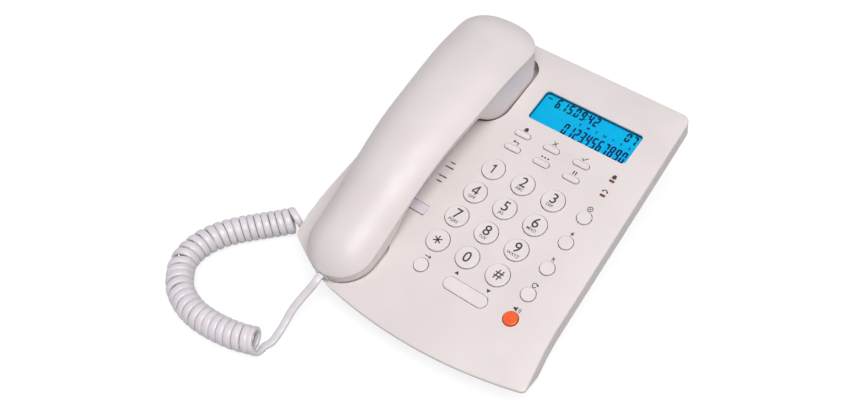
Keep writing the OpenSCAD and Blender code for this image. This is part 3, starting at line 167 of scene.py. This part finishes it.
MATERIALS = {
    "shell": Material("shell_plastic", "#E3DBDA", 0.42, Specular_IOR_Level=0.45)
    .mottle("#DFD6D6", 30).uneven(0.38, 0.48, 9).grain(0.45, 0.012, 0.5),
    "keys": Material("key_plastic", "#E7DFDE", 0.32, Specular_IOR_Level=0.5)
    .mottle("#E3DADA", 12).uneven(0.28, 0.38, 5).grain(0.4, 0.006, 0.4),
    "lever": Material("lever_plastic", "#E0DAE2", 0.35)
    .mottle("#D9D3DC", 8).uneven(0.3, 0.42, 4).grain(0.4, 0.006, 0.4),
    "speaker_key": Material("orange_plastic", "#F25C10", 0.3, Coat_Weight=0.3)
    .mottle("#EA520A", 5).uneven(0.26, 0.36, 3).grain(0.4, 0.005, 0.4),
    "led": Material("red_lens", "#8A1F28", 0.18, Coat_Weight=0.4)
    .mottle("#6E141B", 1.2).grain(0.5, 0.004, 0.4),
    "window": Material("clear_window", "#0A6C96", 0.06, Alpha=0.07)
    .uneven(0.04, 0.09, 20),
    "lcd": Material("lit_panel", "#00A8CC", 0.45, Emission_Color=linear("#00C8F0"),
                    Emission_Strength=0.55, Specular_IOR_Level=0.2)
    .mottle("#0090D0", 24).grain(0.6, 0.004, 0.3),
    "diffuser": Material("milky_guide", "#F2F5F5", 0.3, Subsurface_Weight=0.2)
    .mottle("#E6ECEC", 15).grain(0.8, 0.01, 0.4),
    "board": Material("solder_mask", "#2F6B45", 0.32, Coat_Weight=0.3)
    .mottle("#24573A", 2.2).grain(1.2, 0.03, 0.6),
    # Silicone mat, its grey darkened as painted shade in the gaps round the keys
    "mat": Material("silicone", "#8F8B89", 0.7)
    .mottle("#84807E", 6).grain(0.7, 0.02, 0.6),
    "dark": Material("black_moulding", "#3A3C40", 0.5)
    .mottle("#313337", 4).uneven(0.42, 0.6, 3).grain(0.5, 0.02, 0.6),
    "steel": Material("plated_steel", "#B9BCC0", 0.28, Metallic=1.0)
    .mottle("#A4A7AC", 3).uneven(0.22, 0.4, 2).grain(0.3, 0.006, 0.5),
    "feet": Material("rubber_feet", "#4A4B4E", 0.85)
    .mottle("#3F4043", 3).grain(0.35, 0.03, 0.8),
    "cells": Material("cell_sleeve", "#3C6E9E", 0.3, Coat_Weight=0.5)
    .mottle("#2E5F92", 9).grain(0.8, 0.01, 0.4),
    "plug": Material("clear_plug", "#E2E2EA", 0.14, Alpha=0.8)
    .uneven(0.1, 0.22, 3).grain(0.8, 0.01, 0.3),
    "cord": Material("vinyl_cord", "#E6E1E6", 0.34, Coat_Weight=0.15)
    .mottle("#DED8DF", 7).uneven(0.28, 0.42, 4).grain(0.35, 0.01, 0.5),
    "ink": Material("printed_ink", "#26272B", 0.45)
    .mottle("#303136", 1.5).grain(0.2, 0.003, 0.5),
    "segment": Material("lit_segment", "#020F40", 0.5, Specular_IOR_Level=0.1)
    .mottle("#05174E", 3),
    # Dark teal painted shade for the walls of the display's opening
    "liner": Material("painted_wall_shade", "#0A5876", 0.6, Specular_IOR_Level=0.2)
    .mottle("#084A66", 4).grain(0.5, 0.005, 0.4),
}


def dress_nodes():
    """Gives each CAD node the material of its slot."""
    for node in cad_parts.values():
        for slot in node.material_slots:
            slot.material = MATERIALS[slot.material.name.split(".")[0]].material


dress_nodes()

# --- Pieces ----------------------------------------------------------------------------------


def add_piece(name, points, faces, look, body=None, smooth=False):
    """A mesh piece from points in metres. It rides on body, where one is given."""
    mesh = bpy.data.meshes.new(name)
    mesh.from_pydata(points, [], faces)
    mesh.materials.append(MATERIALS[look].material)
    for polygon in mesh.polygons:
        polygon.use_smooth = smooth
    piece = bpy.data.objects.new(name, mesh)
    bpy.context.scene.collection.objects.link(piece)
    if body:
        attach(piece, body)
    return piece


# --- Shells ----------------------------------------------------------------------------------
# Points nearer than this, in millimetres, are one
WELD = 0.01
SHARP_ANGLE = math.radians(32)
SMOOTH_SHELLS = [
    ("handset_upper_shell", "handset"), ("handset_lower_shell", "handset"),
    ("top_housing", "base"), ("bottom_housing", "base"),
]


def add_smooth_shell(node, body):
    """The CAD's shell with its flats shaded as one curved surface between sharp edges."""
    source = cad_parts[node].data
    shell = add_piece(
        node + "_skin", [v.co[:] for v in source.vertices],
        [tuple(p.vertices) for p in source.polygons], "shell", body, smooth=True,
    )
    skin = bmesh.new()
    skin.from_mesh(shell.data)
    bmesh.ops.remove_doubles(skin, verts=skin.verts, dist=WELD * MM)
    for edge in skin.edges:
        edge.smooth = edge.is_manifold and edge.calc_face_angle() < SHARP_ANGLE
    skin.to_mesh(shell.data)
    skin.free()
    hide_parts(node)


for shell_node, shell_body in SMOOTH_SHELLS:
    add_smooth_shell(shell_node, shell_body)

# --- Cord ------------------------------------------------------------------------------------
# Routes in millimetres, as in the CAD. The base's tail runs on into the coil.
BASE_ROUTE = [(-74.9, -46, 9), (-78.6, -46, 9), (-82.4, -47.1, 8.7)]
COIL_ROUTE = [
    (-86.6, -50.4, 8.4), (-92, -57, 8.2), (-97, -64, 8.2), (-104, -72.5, 8.2),
    (-110.5, -80, 8.2), (-117, -88, 8.2), (-122, -96, 8.2), (-125.5, -105, 8.2),
    (-126.5, -114.5, 8.2), (-124.5, -124, 8.2), (-119, -131.5, 8.2), (-112, -138, 8.2),
    (-102, -142.5, 8.2), (-92, -144.5, 8.2), (-82, -144.5, 8.2), (-72, -143.3, 8.2),
    (-62.5, -141, 8.2), (-52.5, -137.2, 8.2),
]
HANDSET_ROUTE = [
    (-49.4, -130.5, 2.9), (-50, -123.5, 4.2), (-50.8, -116.8, 6.6), (-50.5, -112, 10.5),
    (-49.1, -106.3, 15), (-46.9, -100.7, 20), (-45.6, -97.6, 23.1), (-45.4, -95, 24.8),
    (-45.4, -91.8, 25.6),
]
CORD_W = 4.6
CORD_T = 2.7
COIL_D = 15.9
COIL_R = (COIL_D - CORD_T) / 2
TURNS = 33
RINGS_PER_TURN = 32
# The cord swings out from the coil's middle over this length, with part of a turn
LEAD_L = 12.5
LEAD_TURNS = 0.5
LEAD_POWER = 2.5
LEAD_RINGS = 40
# The last turns lean over a little as the cord leaves them
LEAN_AXIS = Vector((0.76, 0.15, 0.61)).normalized()
LEAN_TURNS = 1.6
LEAN = 0.35
# How much further apart the turns stand where the coil bends
SPREAD = 1.6
TURN_GAP = 0.2
# The handset's tail starts inside the last turn and goes straight on for a little
TAIL_LAP = 0.6
TAIL_LEAD = 2
TAIL_TWIST = 1.3
# The cord's section is a rounded oblong, with SECTION_N corners
SECTION_N = 16
SECTION_POWER = 2.8
PER_SPAN = 20
UP = Vector((0, 0, 1))
ACROSS = Vector((1, 0, 0))


def smooth_step(t):
    t = min(1, max(0, t))
    return t * t * (3 - 2 * t)


def smooth_line(route):
    """A smooth line through a route's points."""
    spots = [Vector(p) for p in route]
    spots = [2 * spots[0] - spots[1], *spots, 2 * spots[-1] - spots[-2]]
    line = []
    for a, b, c, d in zip(spots, spots[1:], spots[2:], spots[3:]):
        for i in range(PER_SPAN):
            t = i / PER_SPAN
            line.append((
                2 * b + (c - a) * t + (2 * a - 5 * b + 4 * c - d) * t * t
                + (3 * b - a - 3 * c + d) * t ** 3
            ) / 2)
    return line + [spots[-2]]


def tangents(line):
    last = len(line) - 1
    return [(line[min(i + 1, last)] - line[max(i - 1, 0)]).normalized()
            for i in range(last + 1)]


def flat_cord(name, line, broadsides, widths):
    """A flat cord along a line; at each point its width lies along that broadside."""
    points = []
    for spot, ahead, broadside, width in zip(line, tangents(line), broadsides, widths):
        side = (broadside - broadside.dot(ahead) * ahead).normalized()
        out = ahead.cross(side)
        for k in range(SECTION_N):
            a = 2 * math.pi * k / SECTION_N
            x = math.copysign(abs(math.cos(a)) ** (2 / SECTION_POWER), math.cos(a))
            y = math.copysign(abs(math.sin(a)) ** (2 / SECTION_POWER), math.sin(a))
            points.append((spot + side * x * width / 2 + out * y * CORD_T / 2) * MM)
    rings = len(line)
    n = SECTION_N
    faces = [
        (i * n + k, i * n + (k + 1) % n, (i + 1) * n + (k + 1) % n, (i + 1) * n + k)
        for i in range(rings - 1) for k in range(n)
    ]
    faces.append(tuple(reversed(range(n))))
    faces.append(tuple((rings - 1) * n + k for k in range(n)))
    return add_piece(name, points, faces, "cord", smooth=True)


def coil_stations(wound):
    """Place along the axis, turn and share of the coil's radius, from the base to the end."""
    tail = wound[:PER_SPAN * len(BASE_ROUTE)]
    start = wound[len(tail)]
    stations = [(place, 0, 0) for place in tail]
    for k in range(LEAD_RINGS):
        t = k / LEAD_RINGS
        stations.append((start + LEAD_L * t, LEAD_TURNS * t ** LEAD_POWER, smooth_step(t)))
    rings = round((TURNS - LEAD_TURNS) * RINGS_PER_TURN)
    for k in range(rings + 1):
        t = k / rings
        place = start + LEAD_L + (wound[-1] - start - LEAD_L) * t
        stations.append((place, LEAD_TURNS + (TURNS - LEAD_TURNS) * t, 1))
    return stations


def coil_line():
    """Line, broadsides and widths of the base's tail and the coil."""
    axis = smooth_line(BASE_ROUTE + COIL_ROUTE)
    ahead = tangents(axis)
    steps = [(b - a).length for a, b in zip(axis, axis[1:])] + [0]
    # Bend at each point, towards its centre
    bends = [Vector()] * len(axis)
    for i in range(1, len(axis) - 1):
        bends[i] = (ahead[i + 1] - ahead[i - 1]) / (steps[i - 1] + steps[i])
    gaps = [1 + SPREAD * COIL_R * bend.length for bend in bends]
    wound = [0]
    for step, gap in zip(steps, gaps):
        wound.append(wound[-1] + step / gap)
    stations = coil_stations(wound)
    pitch = stations[-1][0] - stations[-1 - RINGS_PER_TURN][0]
    line, broadsides, widths = [], [], []
    i = 0
    for place, turn, swing in stations:
        while i < len(axis) - 2 and wound[i + 1] < place:
            i += 1
        share = (place - wound[i]) / (wound[i + 1] - wound[i])
        middle = axis[i].lerp(axis[i + 1], share)
        lean = LEAN * smooth_step(1 - (TURNS - turn) / LEAN_TURNS)
        along = ahead[i].lerp(LEAN_AXIS, lean).normalized()
        side = along.cross(UP).normalized()
        rise = side.cross(along)
        angle = -math.pi / 2 + 2 * math.pi * (TURNS - turn)
        out = side * math.cos(angle) + rise * math.sin(angle)
        line.append(middle + out * COIL_R * swing)
        broadsides.append(side.lerp(along, swing))
        # Room for the cord's width between its neighbours at this side of the coil
        room = pitch * gaps[i] * (1 - bends[i].dot(out) * COIL_R) - TURN_GAP
        widths.append(CORD_W + swing * (min(CORD_W, room) - CORD_W))
    return line, broadsides, widths


def add_coil():
    """The base's tail and the coil in one piece.

    Returns its last place, heading and broadside.
    """
    line, broadsides, widths = coil_line()
    cord = flat_cord("curly_cord", line, broadsides, widths)
    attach(cord, "base")
    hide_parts("coil_cord", "base_tail")
    return line[-1], (line[-1] - line[-2]).normalized(), broadsides[-1]


def add_tail(start, heading, broadside):
    """Flat cord from the coil's last turn up to the handset's plug."""
    line = smooth_line(
        [start - TAIL_LAP * heading, start + TAIL_LEAD * heading, *HANDSET_ROUTE]
    )
    last = len(line) - 1
    broadsides = [
        broadside.lerp(ACROSS, smooth_step(TAIL_TWIST * i / last)) for i in range(last + 1)
    ]
    tail = flat_cord("handset_cord", line, broadsides, [CORD_W] * (last + 1))
    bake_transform(tail)
    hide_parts("handset_tail")


add_tail(*add_coil())

# --- Flat printing ---------------------------------------------------------------------------
ARC_STEPS = 28
DISC_STEPS = 24


class Print:
    """Flat shapes in millimetres round a middle, gathered into one piece."""

    def __init__(self):
        self.points = []
        self.faces = []

    def polygon(self, corners):
        first = len(self.points)
        self.points += corners
        self.faces.append(tuple(range(first, first + len(corners))))

    def bar(self, x0, y0, x1, y1):
        self.polygon([(x0, y0), (x1, y0), (x1, y1), (x0, y1)])

    def stroke(self, start, end, width):
        (x0, y0), (x1, y1) = start, end
        reach = math.hypot(x1 - x0, y1 - y0)
        dx, dy = (x1 - x0) / reach * width / 2, (y1 - y0) / reach * width / 2
        self.polygon([(x0 + dy, y0 - dx), (x1 + dy, y1 - dx), (x1 - dy, y1 + dx),
                      (x0 - dy, y0 + dx)])

    def arc(self, middle, inner, outer, start=0, end=360, steps=ARC_STEPS):
        """A ring or part of one, anticlockwise from start to end in degrees."""
        turns = [math.radians(start + (end - start) * i / steps) for i in range(steps + 1)]
        for a, b in zip(turns, turns[1:]):
            self.polygon([
                (middle[0] + r * math.cos(t), middle[1] + r * math.sin(t))
                for r, t in ((inner, a), (outer, a), (outer, b), (inner, b))
            ])

    def disc(self, middle, radius):
        turns = [2 * math.pi * i / DISC_STEPS for i in range(DISC_STEPS)]
        self.polygon([
            (middle[0] + radius * math.cos(t), middle[1] + radius * math.sin(t)) for t in turns
        ])

    def text(self, words, height, middle, weight):
        """Plain letters with capitals of that height round a middle."""
        points, faces = letter_shapes(words, weight)
        low = min(p[0] for p in points)
        high = max(p[0] for p in points)
        scale = height / CAPITAL_H
        first = len(self.points)
        self.points += [
            (middle[0] + (p[0] - (low + high) / 2) * scale,
             middle[1] + (p[1] - CAPITAL_H / 2) * scale) for p in points
        ]
        self.faces += [tuple(first + i for i in face) for face in faces]

    def digit(self, figure, middle):
        """A key's digit round a middle."""
        if figure not in STROKED:
            self.text(figure, DIGIT_H, middle, DIGIT_WEIGHT)
            return
        for ends in STROKED[figure]:
            self.stroke(*((x + middle[0], y + middle[1]) for x, y in ends), DIGIT_LINE)

    def lay(self, name, middle, z, look, body):
        """Puts the print on the face round middle, at height z."""
        points = [on_face(middle[0] + x, middle[1] + y, z) for x, y in self.points]
        return add_piece(name, points, self.faces, look, body)


def letter_shapes(words, weight):
    """Points and faces of a line of text one unit high."""
    curve = bpy.data.curves.new("letters", "FONT")
    curve.body = words
    curve.offset = weight
    carrier = bpy.data.objects.new("letters", curve)
    bpy.context.scene.collection.objects.link(carrier)
    mesh = bpy.data.meshes.new_from_object(carrier)
    points = [(v.co.x, v.co.y) for v in mesh.vertices]
    faces = [tuple(p.vertices) for p in mesh.polygons]
    bpy.data.objects.remove(carrier)
    bpy.data.curves.remove(curve)
    bpy.data.meshes.remove(mesh)
    return points, faces


CAPITAL_H = max(p[1] for p in letter_shapes("H", 0)[0])

# --- Legends on the digit keys ----------------------------------------------------------------
INK_LIFT = 0.02
KEY_TOP = 1.1
DIGIT_H = 6.1
DIGIT_Y = 1.3
DIGIT_WEIGHT = 0.008
LETTERS_H = 1.75
LETTERS_Y = -3.4
LETTERS_WEIGHT = 0.012
KEYPAD = [
    ("key_1", "1", ""), ("key_2", "2", "ABC"), ("key_3", "3", "DEF"),
    ("key_4", "4", "GHI"), ("key_5", "5", "JKL"), ("key_6", "6", "MNO"),
    ("key_7", "7", "PQRS"), ("key_8", "8", "TUV"), ("key_9", "9", "WXYZ"),
    ("key_star", "*", ""), ("key_0", "0", ""), ("key_hash", "#", ""),
]
STAR_R = 2.7
STAR_LINE = 0.75
HASH_H = 5.8
HASH_PLACE = (0.6, 0.8)
DIGIT_LINE = 0.85
# Digits that are drawn with straight strokes, in millimetres round their middle
STROKED = {
    "1": [((0.45, -3.05), (0.45, 3.05)), ((0.5, 2.6), (-1.15, 1.55))],
    "4": [
        ((0.85, -3.05), (0.85, 3.05)), ((0.95, 2.85), (-2, -1.15)),
        ((-2.15, -1.5), (2.1, -1.5)),
    ],
}


def star(legend):
    for degrees in (90, 150, 210):
        a = math.radians(degrees)
        x, y = STAR_R * math.cos(a), STAR_R * math.sin(a)
        legend.stroke((-x, -y), (x, y), STAR_LINE)


def add_digits():
    """Each key's digit, and the letters under it."""
    for i, (key, digit, letters) in enumerate(KEYPAD):
        column, row = i % 3 - 1, 1.5 - i // 3
        legend = Print()
        if digit == "*":
            star(legend)
        elif digit == "#":
            legend.text(digit, HASH_H, HASH_PLACE, DIGIT_WEIGHT)
        else:
            legend.digit(digit, (0, DIGIT_Y if letters else 0))
        if letters:
            legend.text(letters, LETTERS_H, (0, LETTERS_Y), LETTERS_WEIGHT)
        legend.lay(key + "_print", (PAD_X + column * PITCH_X, row * PITCH_Y),
                   KEY_TOP + INK_LIFT, "ink", key)


add_digits()

# --- Signs beside the other keys --------------------------------------------------------------
# Each sign is drawn in millimetres round its middle, and then enlarged by SIGN_SCALE
SIGN_LINE = 0.42


def bell(sign):
    sign.arc((0, 0), 0, 0.95, 0, 180)
    sign.bar(-0.95, -0.75, 0.95, 0)
    sign.bar(-1.35, -1.05, 1.35, -0.75)
    sign.disc((0, -1.3), 0.32)


def cross(sign):
    sign.stroke((-1, -1), (1, 1), SIGN_LINE)
    sign.stroke((-1, 1), (1, -1), SIGN_LINE)


def tick(sign):
    sign.stroke((-1.3, 0), (-0.4, -1), SIGN_LINE)
    sign.stroke((-0.5, -1.05), (1.3, 1.1), SIGN_LINE)


def back_arrow(sign):
    sign.stroke((-1.2, 0.35), (1.2, 0.35), SIGN_LINE)
    sign.polygon([(-2, 0.35), (-1, -0.45), (-1, 1.15)])
    sign.bar(0.8, -1, 1.22, 0.35)


def out_arrow(sign):
    sign.stroke((-1.4, 0), (1, 0), SIGN_LINE)
    sign.polygon([(1.9, 0), (0.8, 0.9), (0.8, -0.9)])


def store(sign):
    for x in (-1.6, 0, 1.6):
        sign.disc((x, 0), 0.45)


def pause(sign):
    sign.bar(-0.9, -1, -0.35, 1)
    sign.bar(0.35, -1, 0.9, 1)


def hold(sign):
    sign.arc((0, 0), 0.95, 1.35)
    sign.disc((0, 0), 0.4)


def lightning(sign):
    sign.polygon([(0.5, 1.5), (-1, -0.2), (0, -0.2)])
    sign.polygon([(0, -0.2), (-0.4, -1.5), (1, 0.3), (0, 0.3)])


def flash(sign):
    sign.text("R", 1.7, (0, 0), 0.02)


def again(sign):
    sign.arc((0, 0), 0.85, 1.25, 40, 330)
    sign.polygon([(0.45, 0.15), (1.75, 0.15), (1.15, 1.15)])


def talk(sign):
    sign.bar(-1.8, -0.5, -1.05, 0.5)
    sign.polygon([(-1.1, -0.5), (0, -1.2), (0, 1.2), (-1.1, 0.5)])
    for radius in (0.8, 1.5):
        sign.arc((0, 0), radius, radius + 0.32, -45, 45, 10)


def up_sign(sign):
    sign.polygon([(-1.1, -0.7), (1.1, -0.7), (0, 1)])


def down_sign(sign):
    sign.polygon([(-1.1, 0.7), (0, -1), (1.1, 0.7)])


def in_use(sign):
    sign.arc((0, -0.7), 0.9, 1.4, 20, 160)
    sign.disc((-1.1, -0.4), 0.42)
    sign.disc((1.1, -0.4), 0.42)


SIGN_SCALE = 1.25
# How far a sign stands up the slope from its key's or light's middle
SIGN_UP = 6.2
ROCKER_SIGN_UP = 6.7
MENU_SIGN_UP = 4.1
LED_SIGN_UP = 3.1
SIDE_X = PAD_X + 2 * PITCH_X
SIDE_SIGN_Y = [26.55 - 17.9 * i + SIGN_UP for i in range(4)]
MENU_X = [PAD_X - 18.9, PAD_X + 0.6, PAD_X + 20.3]
MENU_SIGN_Y = [54.2 + MENU_SIGN_UP, 43.7 + MENU_SIGN_UP]
FRONT_ROW = -43.5
OUT_X = PAD_X - 19.1
ROCKER_X = [PAD_X + 0.6, PAD_X + 21]
RING_LED = (55.9, 53.7)
LINE_LED = (56.4, 43.5)
SIGNS = [
    ("hold", hold, SIDE_X, SIDE_SIGN_Y[0]),
    ("auto", lightning, SIDE_X, SIDE_SIGN_Y[1]),
    ("flash", flash, SIDE_X, SIDE_SIGN_Y[2]),
    ("redial", again, SIDE_X, SIDE_SIGN_Y[3]),
    ("out", out_arrow, OUT_X, FRONT_ROW + SIGN_UP),
    ("speaker", talk, SIDE_X, FRONT_ROW + SIGN_UP),
    ("louder", up_sign, ROCKER_X[0], FRONT_ROW + ROCKER_SIGN_UP),
    ("quieter", down_sign, ROCKER_X[1], FRONT_ROW + ROCKER_SIGN_UP),
    ("alarm", bell, MENU_X[0], MENU_SIGN_Y[0]),
    ("delete", cross, MENU_X[1], MENU_SIGN_Y[0]),
    ("set", tick, MENU_X[2], MENU_SIGN_Y[0]),
    ("recall", back_arrow, MENU_X[0], MENU_SIGN_Y[1]),
    ("memory", store, MENU_X[1], MENU_SIGN_Y[1]),
    ("pause", pause, MENU_X[2], MENU_SIGN_Y[1]),
    ("ring", bell, RING_LED[0], RING_LED[1] + LED_SIGN_UP),
    ("line", in_use, LINE_LED[0], LINE_LED[1] + LED_SIGN_UP),
]


def add_signs():
    """The small signs printed beside the keys and the lights."""
    for name, draw, x, y in SIGNS:
        sign = Print()
        draw(sign)
        sign.points = [(SIGN_SCALE * px, SIGN_SCALE * py) for px, py in sign.points]
        sign.lay(name + "_sign", (x, y), INK_LIFT, "ink", "base")


add_signs()

# --- Display ----------------------------------------------------------------------------------
LCD_PLACE = (PAD_X + 8.2, 76.8)
LCD_W = 64.4
LCD_H = 21.6
PANEL_Z = -3.4
# Rows, measured down from the opening's top, and heights of what stands in them
UPPER_ROW = 3.45
UPPER_H = 6.6
COUNT_H = 6.2
WEEKDAY_ROW = 9.3
WEEKDAY_H = 1.6
LOWER_ROW = 16.2
LOWER_H = 8
# What stands in the rows, with places measured from the opening's left
DATE_AND_TIME = [
    ("6", 9.6), ("1", 13.9), ("5", 17.9), ("0", 22.3), ("9", 26.4), ("4", 31.2), ("2", 35.3),
]
COUNT = [("0", 56), ("7", 60.2)]
NUMBER = "01234567890"
NUMBER_X = 22.3
NUMBER_STEP = 3.82
WEEKDAYS = "SMTWTFS"
WEEKDAY_X = 28
WEEKDAY_STEP = 5.4
WEEKDAY_WEIGHT = 0.04
# Points and colons, from the opening's left and the upper row's middle
POINTS = [(11.9, -2.9), (20.2, -2.9), (28.7, -1.4), (29, 1.4)]
POINT_R = 0.4
DASH = (1.8, 0.6, 4.6, 1.4)
SEGMENT_W = 3.0
SEGMENT_T = 1.1
SEGMENT_GAP = 0.14
SLANT = 0.03
# Which of the segments a to g are dark in each digit
SEGMENTS = {
    "0": "abcdef", "1": "bc", "2": "abdeg", "3": "abcdg", "4": "bcfg",
    "5": "acdfg", "6": "acdefg", "7": "abc", "8": "abcdefg", "9": "abcdfg",
}


def segment_digit(sheet, digit, x, y, height):
    """A seven-segment digit whose middle is at x, y."""
    w, h, t = SEGMENT_W / 2, height / 2, SEGMENT_T / 2
    g = SEGMENT_GAP
    lines = {
        "a": ((-w, h - t), (w, h - t)), "g": ((-w, 0), (w, 0)), "d": ((-w, t - h), (w, t - h)),
        "f": ((t - w, 0), (t - w, h)), "b": ((w - t, 0), (w - t, h)),
        "e": ((t - w, -h), (t - w, 0)), "c": ((w - t, -h), (w - t, 0)),
    }
    for name in SEGMENTS[digit]:
        (x0, y0), (x1, y1) = lines[name]
        if x0 == x1:
            outline = [(x0 - t, y0 + g + t), (x0, y0 + g), (x0 + t, y0 + g + t),
                       (x0 + t, y1 - g - t), (x0, y1 - g), (x0 - t, y1 - g - t)]
        else:
            outline = [(x0 + g, y0), (x0 + g + t, y0 - t), (x1 - g - t, y0 - t),
                       (x1 - g, y0), (x1 - g - t, y0 + t), (x0 + g + t, y0 + t)]
        sheet.polygon([(x + px + SLANT * py, y + py) for px, py in outline])


def add_readout():
    """The digits and letters that the panel shows, in one piece."""
    sheet = Print()
    left, top = -LCD_W / 2, LCD_H / 2
    upper = top - UPPER_ROW
    for digit, x in DATE_AND_TIME:
        segment_digit(sheet, digit, left + x, upper, UPPER_H)
    for digit, x in COUNT:
        segment_digit(sheet, digit, left + x, upper, COUNT_H)
    for i, digit in enumerate(NUMBER):
        x = left + NUMBER_X + NUMBER_STEP * i
        segment_digit(sheet, digit, x, top - LOWER_ROW, LOWER_H)
    for x, y in POINTS:
        sheet.disc((left + x, upper + y), POINT_R)
    for i, letter in enumerate(WEEKDAYS):
        x = left + WEEKDAY_X + WEEKDAY_STEP * i
        sheet.text(letter, WEEKDAY_H, (x, top - WEEKDAY_ROW), WEEKDAY_WEIGHT)
    x0, y0, x1, y1 = DASH
    sheet.bar(left + x0, upper + y0, left + x1, upper + y1)
    sheet.lay("readout", LCD_PLACE, PANEL_Z + INK_LIFT, "segment", "base")


# A dark sheet of painted shade on the opening's walls: its corner radius, corner steps, inset
# and top
WALL_SHADE_R = 2.4
WALL_SHADE_STEPS = 6
WALL_SHADE_INSET = 0.07
WALL_SHADE_TOP = -1.02


def add_wall_shade():
    """Painted shade round the panel: a dark sheet on the walls of the opening, where they stand
    in shade.
    """
    outline = []
    for sx, sy, start in ((1, 1, 0), (-1, 1, 90), (-1, -1, 180), (1, -1, 270)):
        for i in range(WALL_SHADE_STEPS + 1):
            a = math.radians(start + 90 * i / WALL_SHADE_STEPS)
            outline.append((
                sx * (LCD_W / 2 - WALL_SHADE_INSET - WALL_SHADE_R) + WALL_SHADE_R * math.cos(a),
                sy * (LCD_H / 2 - WALL_SHADE_INSET - WALL_SHADE_R) + WALL_SHADE_R * math.sin(a),
            ))
    n = len(outline)
    points = [
        on_face(LCD_PLACE[0] + x, LCD_PLACE[1] + y, z)
        for z in (PANEL_Z + INK_LIFT, WALL_SHADE_TOP) for x, y in outline
    ]
    faces = [(i, (i + 1) % n, n + (i + 1) % n, n + i) for i in range(n)]
    add_piece("display_wall_shade", points, faces, "liner", "base", smooth=True)


add_readout()
add_wall_shade()

# --- Floor, lamp and world --------------------------------------------------------------------
# Sizes and places in metres
FLOOR_SIZE = 8
FLOOR_SHADE = 0.3
FLOOR_GLOW = 0.78
WORLD_LEVEL = 0.3
WORLD_COLOUR = (0.95, 0.93, 1, 1)
LAMP_COLOUR = (1, 0.99, 0.97)
LAMP_PLACE = Vector((0.42, -0.42, 1.15))
LAMP_AIM = Vector((0, -0.02, 0.03))
LAMP_SIZE = 0.9
LAMP_POWER = 13.6


def seen_directly(tree):
    """1 for what the camera sees, itself or through gloss and glass."""
    path = tree.nodes.new("ShaderNodeLightPath")
    total = path.outputs["Is Camera Ray"]
    for ray in ("Is Glossy Ray", "Is Transmission Ray"):
        add = tree.nodes.new("ShaderNodeMath")
        add.operation = "MAXIMUM"
        tree.links.new(total, add.inputs[0])
        tree.links.new(path.outputs[ray], add.inputs[1])
        total = add.outputs[0]
    return total


def add_floor():
    """A floor that takes shadows and otherwise shows as white."""
    material = bpy.data.materials.new("floor")
    material.use_nodes = True
    tree = material.node_tree
    tree.nodes.remove(tree.nodes["Principled BSDF"])
    diffuse = tree.nodes.new("ShaderNodeBsdfDiffuse")
    diffuse.inputs["Color"].default_value = (FLOOR_SHADE, FLOOR_SHADE, FLOOR_SHADE, 1)
    glow = tree.nodes.new("ShaderNodeEmission")
    scale = tree.nodes.new("ShaderNodeMath")
    scale.operation = "MULTIPLY"
    scale.inputs[1].default_value = FLOOR_GLOW
    tree.links.new(seen_directly(tree), scale.inputs[0])
    tree.links.new(scale.outputs[0], glow.inputs["Strength"])
    both = tree.nodes.new("ShaderNodeAddShader")
    tree.links.new(diffuse.outputs[0], both.inputs[0])
    tree.links.new(glow.outputs[0], both.inputs[1])
    tree.links.new(both.outputs[0], tree.nodes["Material Output"].inputs["Surface"])
    half = FLOOR_SIZE / 2
    mesh = bpy.data.meshes.new("floor")
    mesh.from_pydata([(-half, -half, 0), (half, -half, 0), (half, half, 0), (-half, half, 0)],
                     [], [(0, 1, 2, 3)])
    mesh.materials.append(material)
    floor = bpy.data.objects.new("floor", mesh)
    bpy.context.scene.collection.objects.link(floor)


def add_world():
    """Dim light from all round, with white where the world itself is seen."""
    world = bpy.data.worlds.new("studio")
    world.use_nodes = True
    tree = world.node_tree
    light = tree.nodes["Background"]
    light.inputs["Color"].default_value = WORLD_COLOUR
    light.inputs["Strength"].default_value = WORLD_LEVEL
    seen = tree.nodes.new("ShaderNodeBackground")
    seen.inputs["Color"].default_value = (1, 1, 1, 1)
    mix = tree.nodes.new("ShaderNodeMixShader")
    tree.links.new(seen_directly(tree), mix.inputs["Fac"])
    tree.links.new(light.outputs[0], mix.inputs[1])
    tree.links.new(seen.outputs[0], mix.inputs[2])
    tree.links.new(mix.outputs[0], tree.nodes["World Output"].inputs["Surface"])
    bpy.context.scene.world = world


def add_lamp():
    data = bpy.data.lights.new("key_lamp", "AREA")
    data.shape = "DISK"
    data.size = LAMP_SIZE
    data.energy = LAMP_POWER
    data.color = LAMP_COLOUR
    lamp = bpy.data.objects.new("key_lamp", data)
    turn = (LAMP_AIM - LAMP_PLACE).to_track_quat("-Z", "Y").to_matrix().to_4x4()
    lamp.matrix_world = Matrix.Translation(LAMP_PLACE) @ turn
    bpy.context.scene.collection.objects.link(lamp)


add_floor()
add_world()
add_lamp()

bpy.context.scene.view_settings.view_transform = "Standard"


def corners(box):
    return [list(box[0]), list(box[1])]
